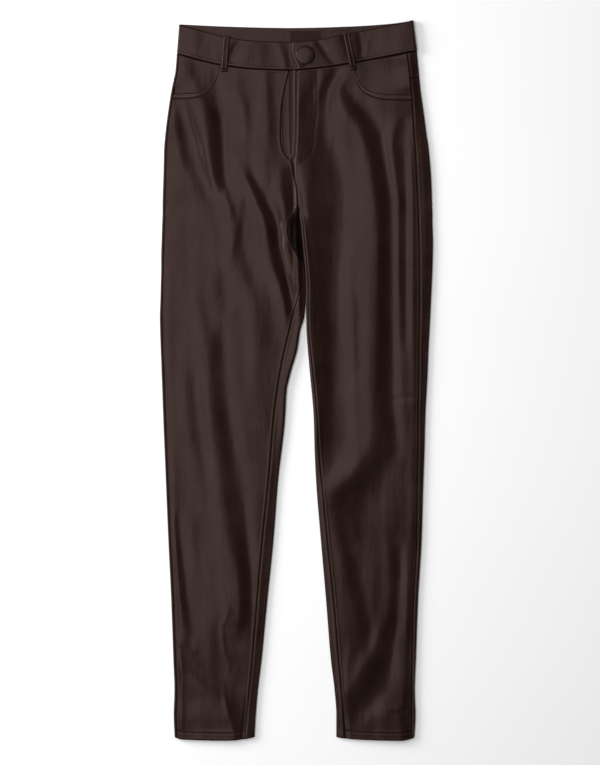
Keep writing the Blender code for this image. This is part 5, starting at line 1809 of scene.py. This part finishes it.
def resample(path, spacing):
    """Points at an even spacing along a path."""
    path = np.asarray(path, dtype=float)
    length = np.linalg.norm(np.diff(path, axis=0), axis=1).sum()
    return along(path, np.linspace(0.0, 1.0, max(2, int(length / spacing) + 1)))


def stitch_row(name, path):
    """A row of stitches along a path of surface points."""
    even = resample(path, STITCH_LENGTH + STITCH_GAP)
    step = even[1:] - even[:-1]
    fractions = np.array(STITCH_SPAN) * (STITCH_LENGTH / (STITCH_LENGTH + STITCH_GAP))
    centres = even[:-1, None] + step[:, None] * fractions[:, None]
    centres[..., 2] += STITCH_SINK
    row = many_rods(name, centres, np.array(STITCH_GIRTH) * THREAD_RADIUS, thread)
    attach(row, "root")
    return len(step)


def mouth_path(side, distance):
    """A path round a pocket mouth, this far below its edge, on the front's surface."""
    plan = front_plans[side]
    surface, _normal, _painted_shade = front_surface(side, plan)
    from_top = edge_distances(surface)[1]
    corner_x = abs(POCKET_MOUTHS[side][-1][0])
    columns = [c for c in range(plan.shape[1]) if abs(plan[-1, c, 0]) > corner_x - 1.0]
    path = []
    for c in columns[2:]:
        order = np.argsort(from_top[:, c])
        column = surface[order, c].T
        path.append([np.interp(distance, from_top[order, c], axis) for axis in column])
    return path


def on_top(side, plan_points, drop=0.0):
    """Surface points above a plan path, or this far below the surface."""
    x, y = np.array(plan_points, dtype=float).T
    return np.stack([x, y, top_height(side, x, y) - drop], axis=-1)


made = 0
for side in (RIGHT, LEFT):
    made += stitch_row(f"pocket_row_{side}", mouth_path(side, MOUTH_GROOVE_AT))
    made += stitch_row(f"pocket_edge_row_{side}", mouth_path(side, MOUTH_EDGE_ROW_AT))
    sign = OUTWARD[side]
    hem_x = np.linspace(
        float(section(side, "outseam", HEM_ROW_Y)) - sign,
        float(section(side, "front_edge", HEM_ROW_Y)) + sign, 40,
    )
    hem_y = smooth_line(HEMS[side], hem_x) + HEM_GROOVE_AT
    made += stitch_row(f"hem_row_{side}", on_top(side, np.stack([hem_x, hem_y], axis=-1), ROW_DROP))
made += stitch_row("fly_row", on_top(LEFT, j_curve(80), ROW_DROP))
edge_y = np.linspace(*FLY_ROW_SPAN_Y, 60)
edge_x = section(LEFT, "front_edge", edge_y) + FLY_ROW_INSET
made += stitch_row("fly_edge_row", on_top(LEFT, np.stack([edge_x, edge_y], axis=-1)))
for side in (RIGHT, LEFT):
    surface = loop_surface(side)[0]
    bar = surface[LOOP_BAR_ROW, LOOP_BAR_INSET:-LOOP_BAR_INSET]
    made += stitch_row(f"loop_bar_{side}", bar)
print("stitches:", made)


# %% [markdown]
# ## Table and light
#
# The leggings lie on a plain pale table. A broad softbox hangs overhead, a smaller one stands to
# the upper left, and a broad one far out to the left is low enough to rake the folds. So the
# ridges shine on their left sides and the troughs fall off to the right, as in a product picture.

# %% Table and lights
FLOOR_HALF = 2500.0
TABLE_LEVEL = -0.3
TABLE_CLOUD_MM = 300.0
TABLE_ROUGHNESS = 0.9
TABLE_GLOSS = 0.1
TABLE_GLOW = 0.08
WHITE = (1.0, 1.0, 1.0, 1.0)
WORLD_STRENGTH = 0.12

floor_material, tree, shader = new_material("pale painted table")
place = node(tree, "ShaderNodeTexCoord").outputs["Object"]
cloudy = node(
    tree, "ShaderNodeTexNoise", {"Scale": per_mm(TABLE_CLOUD_MM), "Detail": 2.0}, {"Vector": place}
)
pale = node(
    tree, "ShaderNodeMix",
    {"data_type": "RGBA", COLOUR_A: linear("#FAFAFA"), COLOUR_B: linear("#FEFEFE")},
    {SHARE: cloudy.outputs["Fac"]},
)
tree.links.new(pale.outputs[MIXED_COLOUR], shader.inputs["Base Color"])
shader.inputs["Roughness"].default_value = TABLE_ROUGHNESS
shader.inputs["Specular IOR Level"].default_value = TABLE_GLOSS
shader.inputs["Emission Color"].default_value = WHITE
shader.inputs["Emission Strength"].default_value = TABLE_GLOW

square = ((-1.0, -1.0), (1.0, -1.0), (1.0, 1.0), (-1.0, 1.0))
corners = [(FLOOR_HALF * x, FLOOR_HALF * y, TABLE_LEVEL) for x, y in square]
table = link_mesh("table", corners, [(0, 1, 2, 3)], [floor_material])

TARGET = Vector((0.0, 0.0, 0.0))


def softbox(name, place_mm, size_mm, watts):
    """An area light aimed at the middle of the leggings."""
    light = bpy.data.objects.new(name, bpy.data.lights.new(name, "AREA"))
    light.data.shape = "RECTANGLE"
    light.data.size = size_mm[0] * MM
    light.data.size_y = size_mm[1] * MM
    light.data.energy = watts
    light.location = Vector(place_mm) * MM
    light.rotation_euler = (TARGET - light.location).to_track_quat("-Z", "Y").to_euler()
    bpy.context.scene.collection.objects.link(light)
    return light


softbox("overhead softbox", (-650.0, 200.0, 2130.0), (2400.0, 1300.0), 34.0)
softbox("side softbox", (-1900.0, 1000.0, 1050.0), (900.0, 900.0), 24.0)
softbox("low softbox", (-4400.0, 800.0, 1600.0), (3000.0, 1800.0), 130.0)
world = bpy.data.worlds.new("studio")
world.use_nodes = True
sky = world.node_tree.nodes["Background"]
sky.inputs["Color"].default_value = WHITE
sky.inputs["Strength"].default_value = WORLD_STRENGTH
bpy.context.scene.world = world
bpy.context.scene.view_settings.view_transform = "Standard"
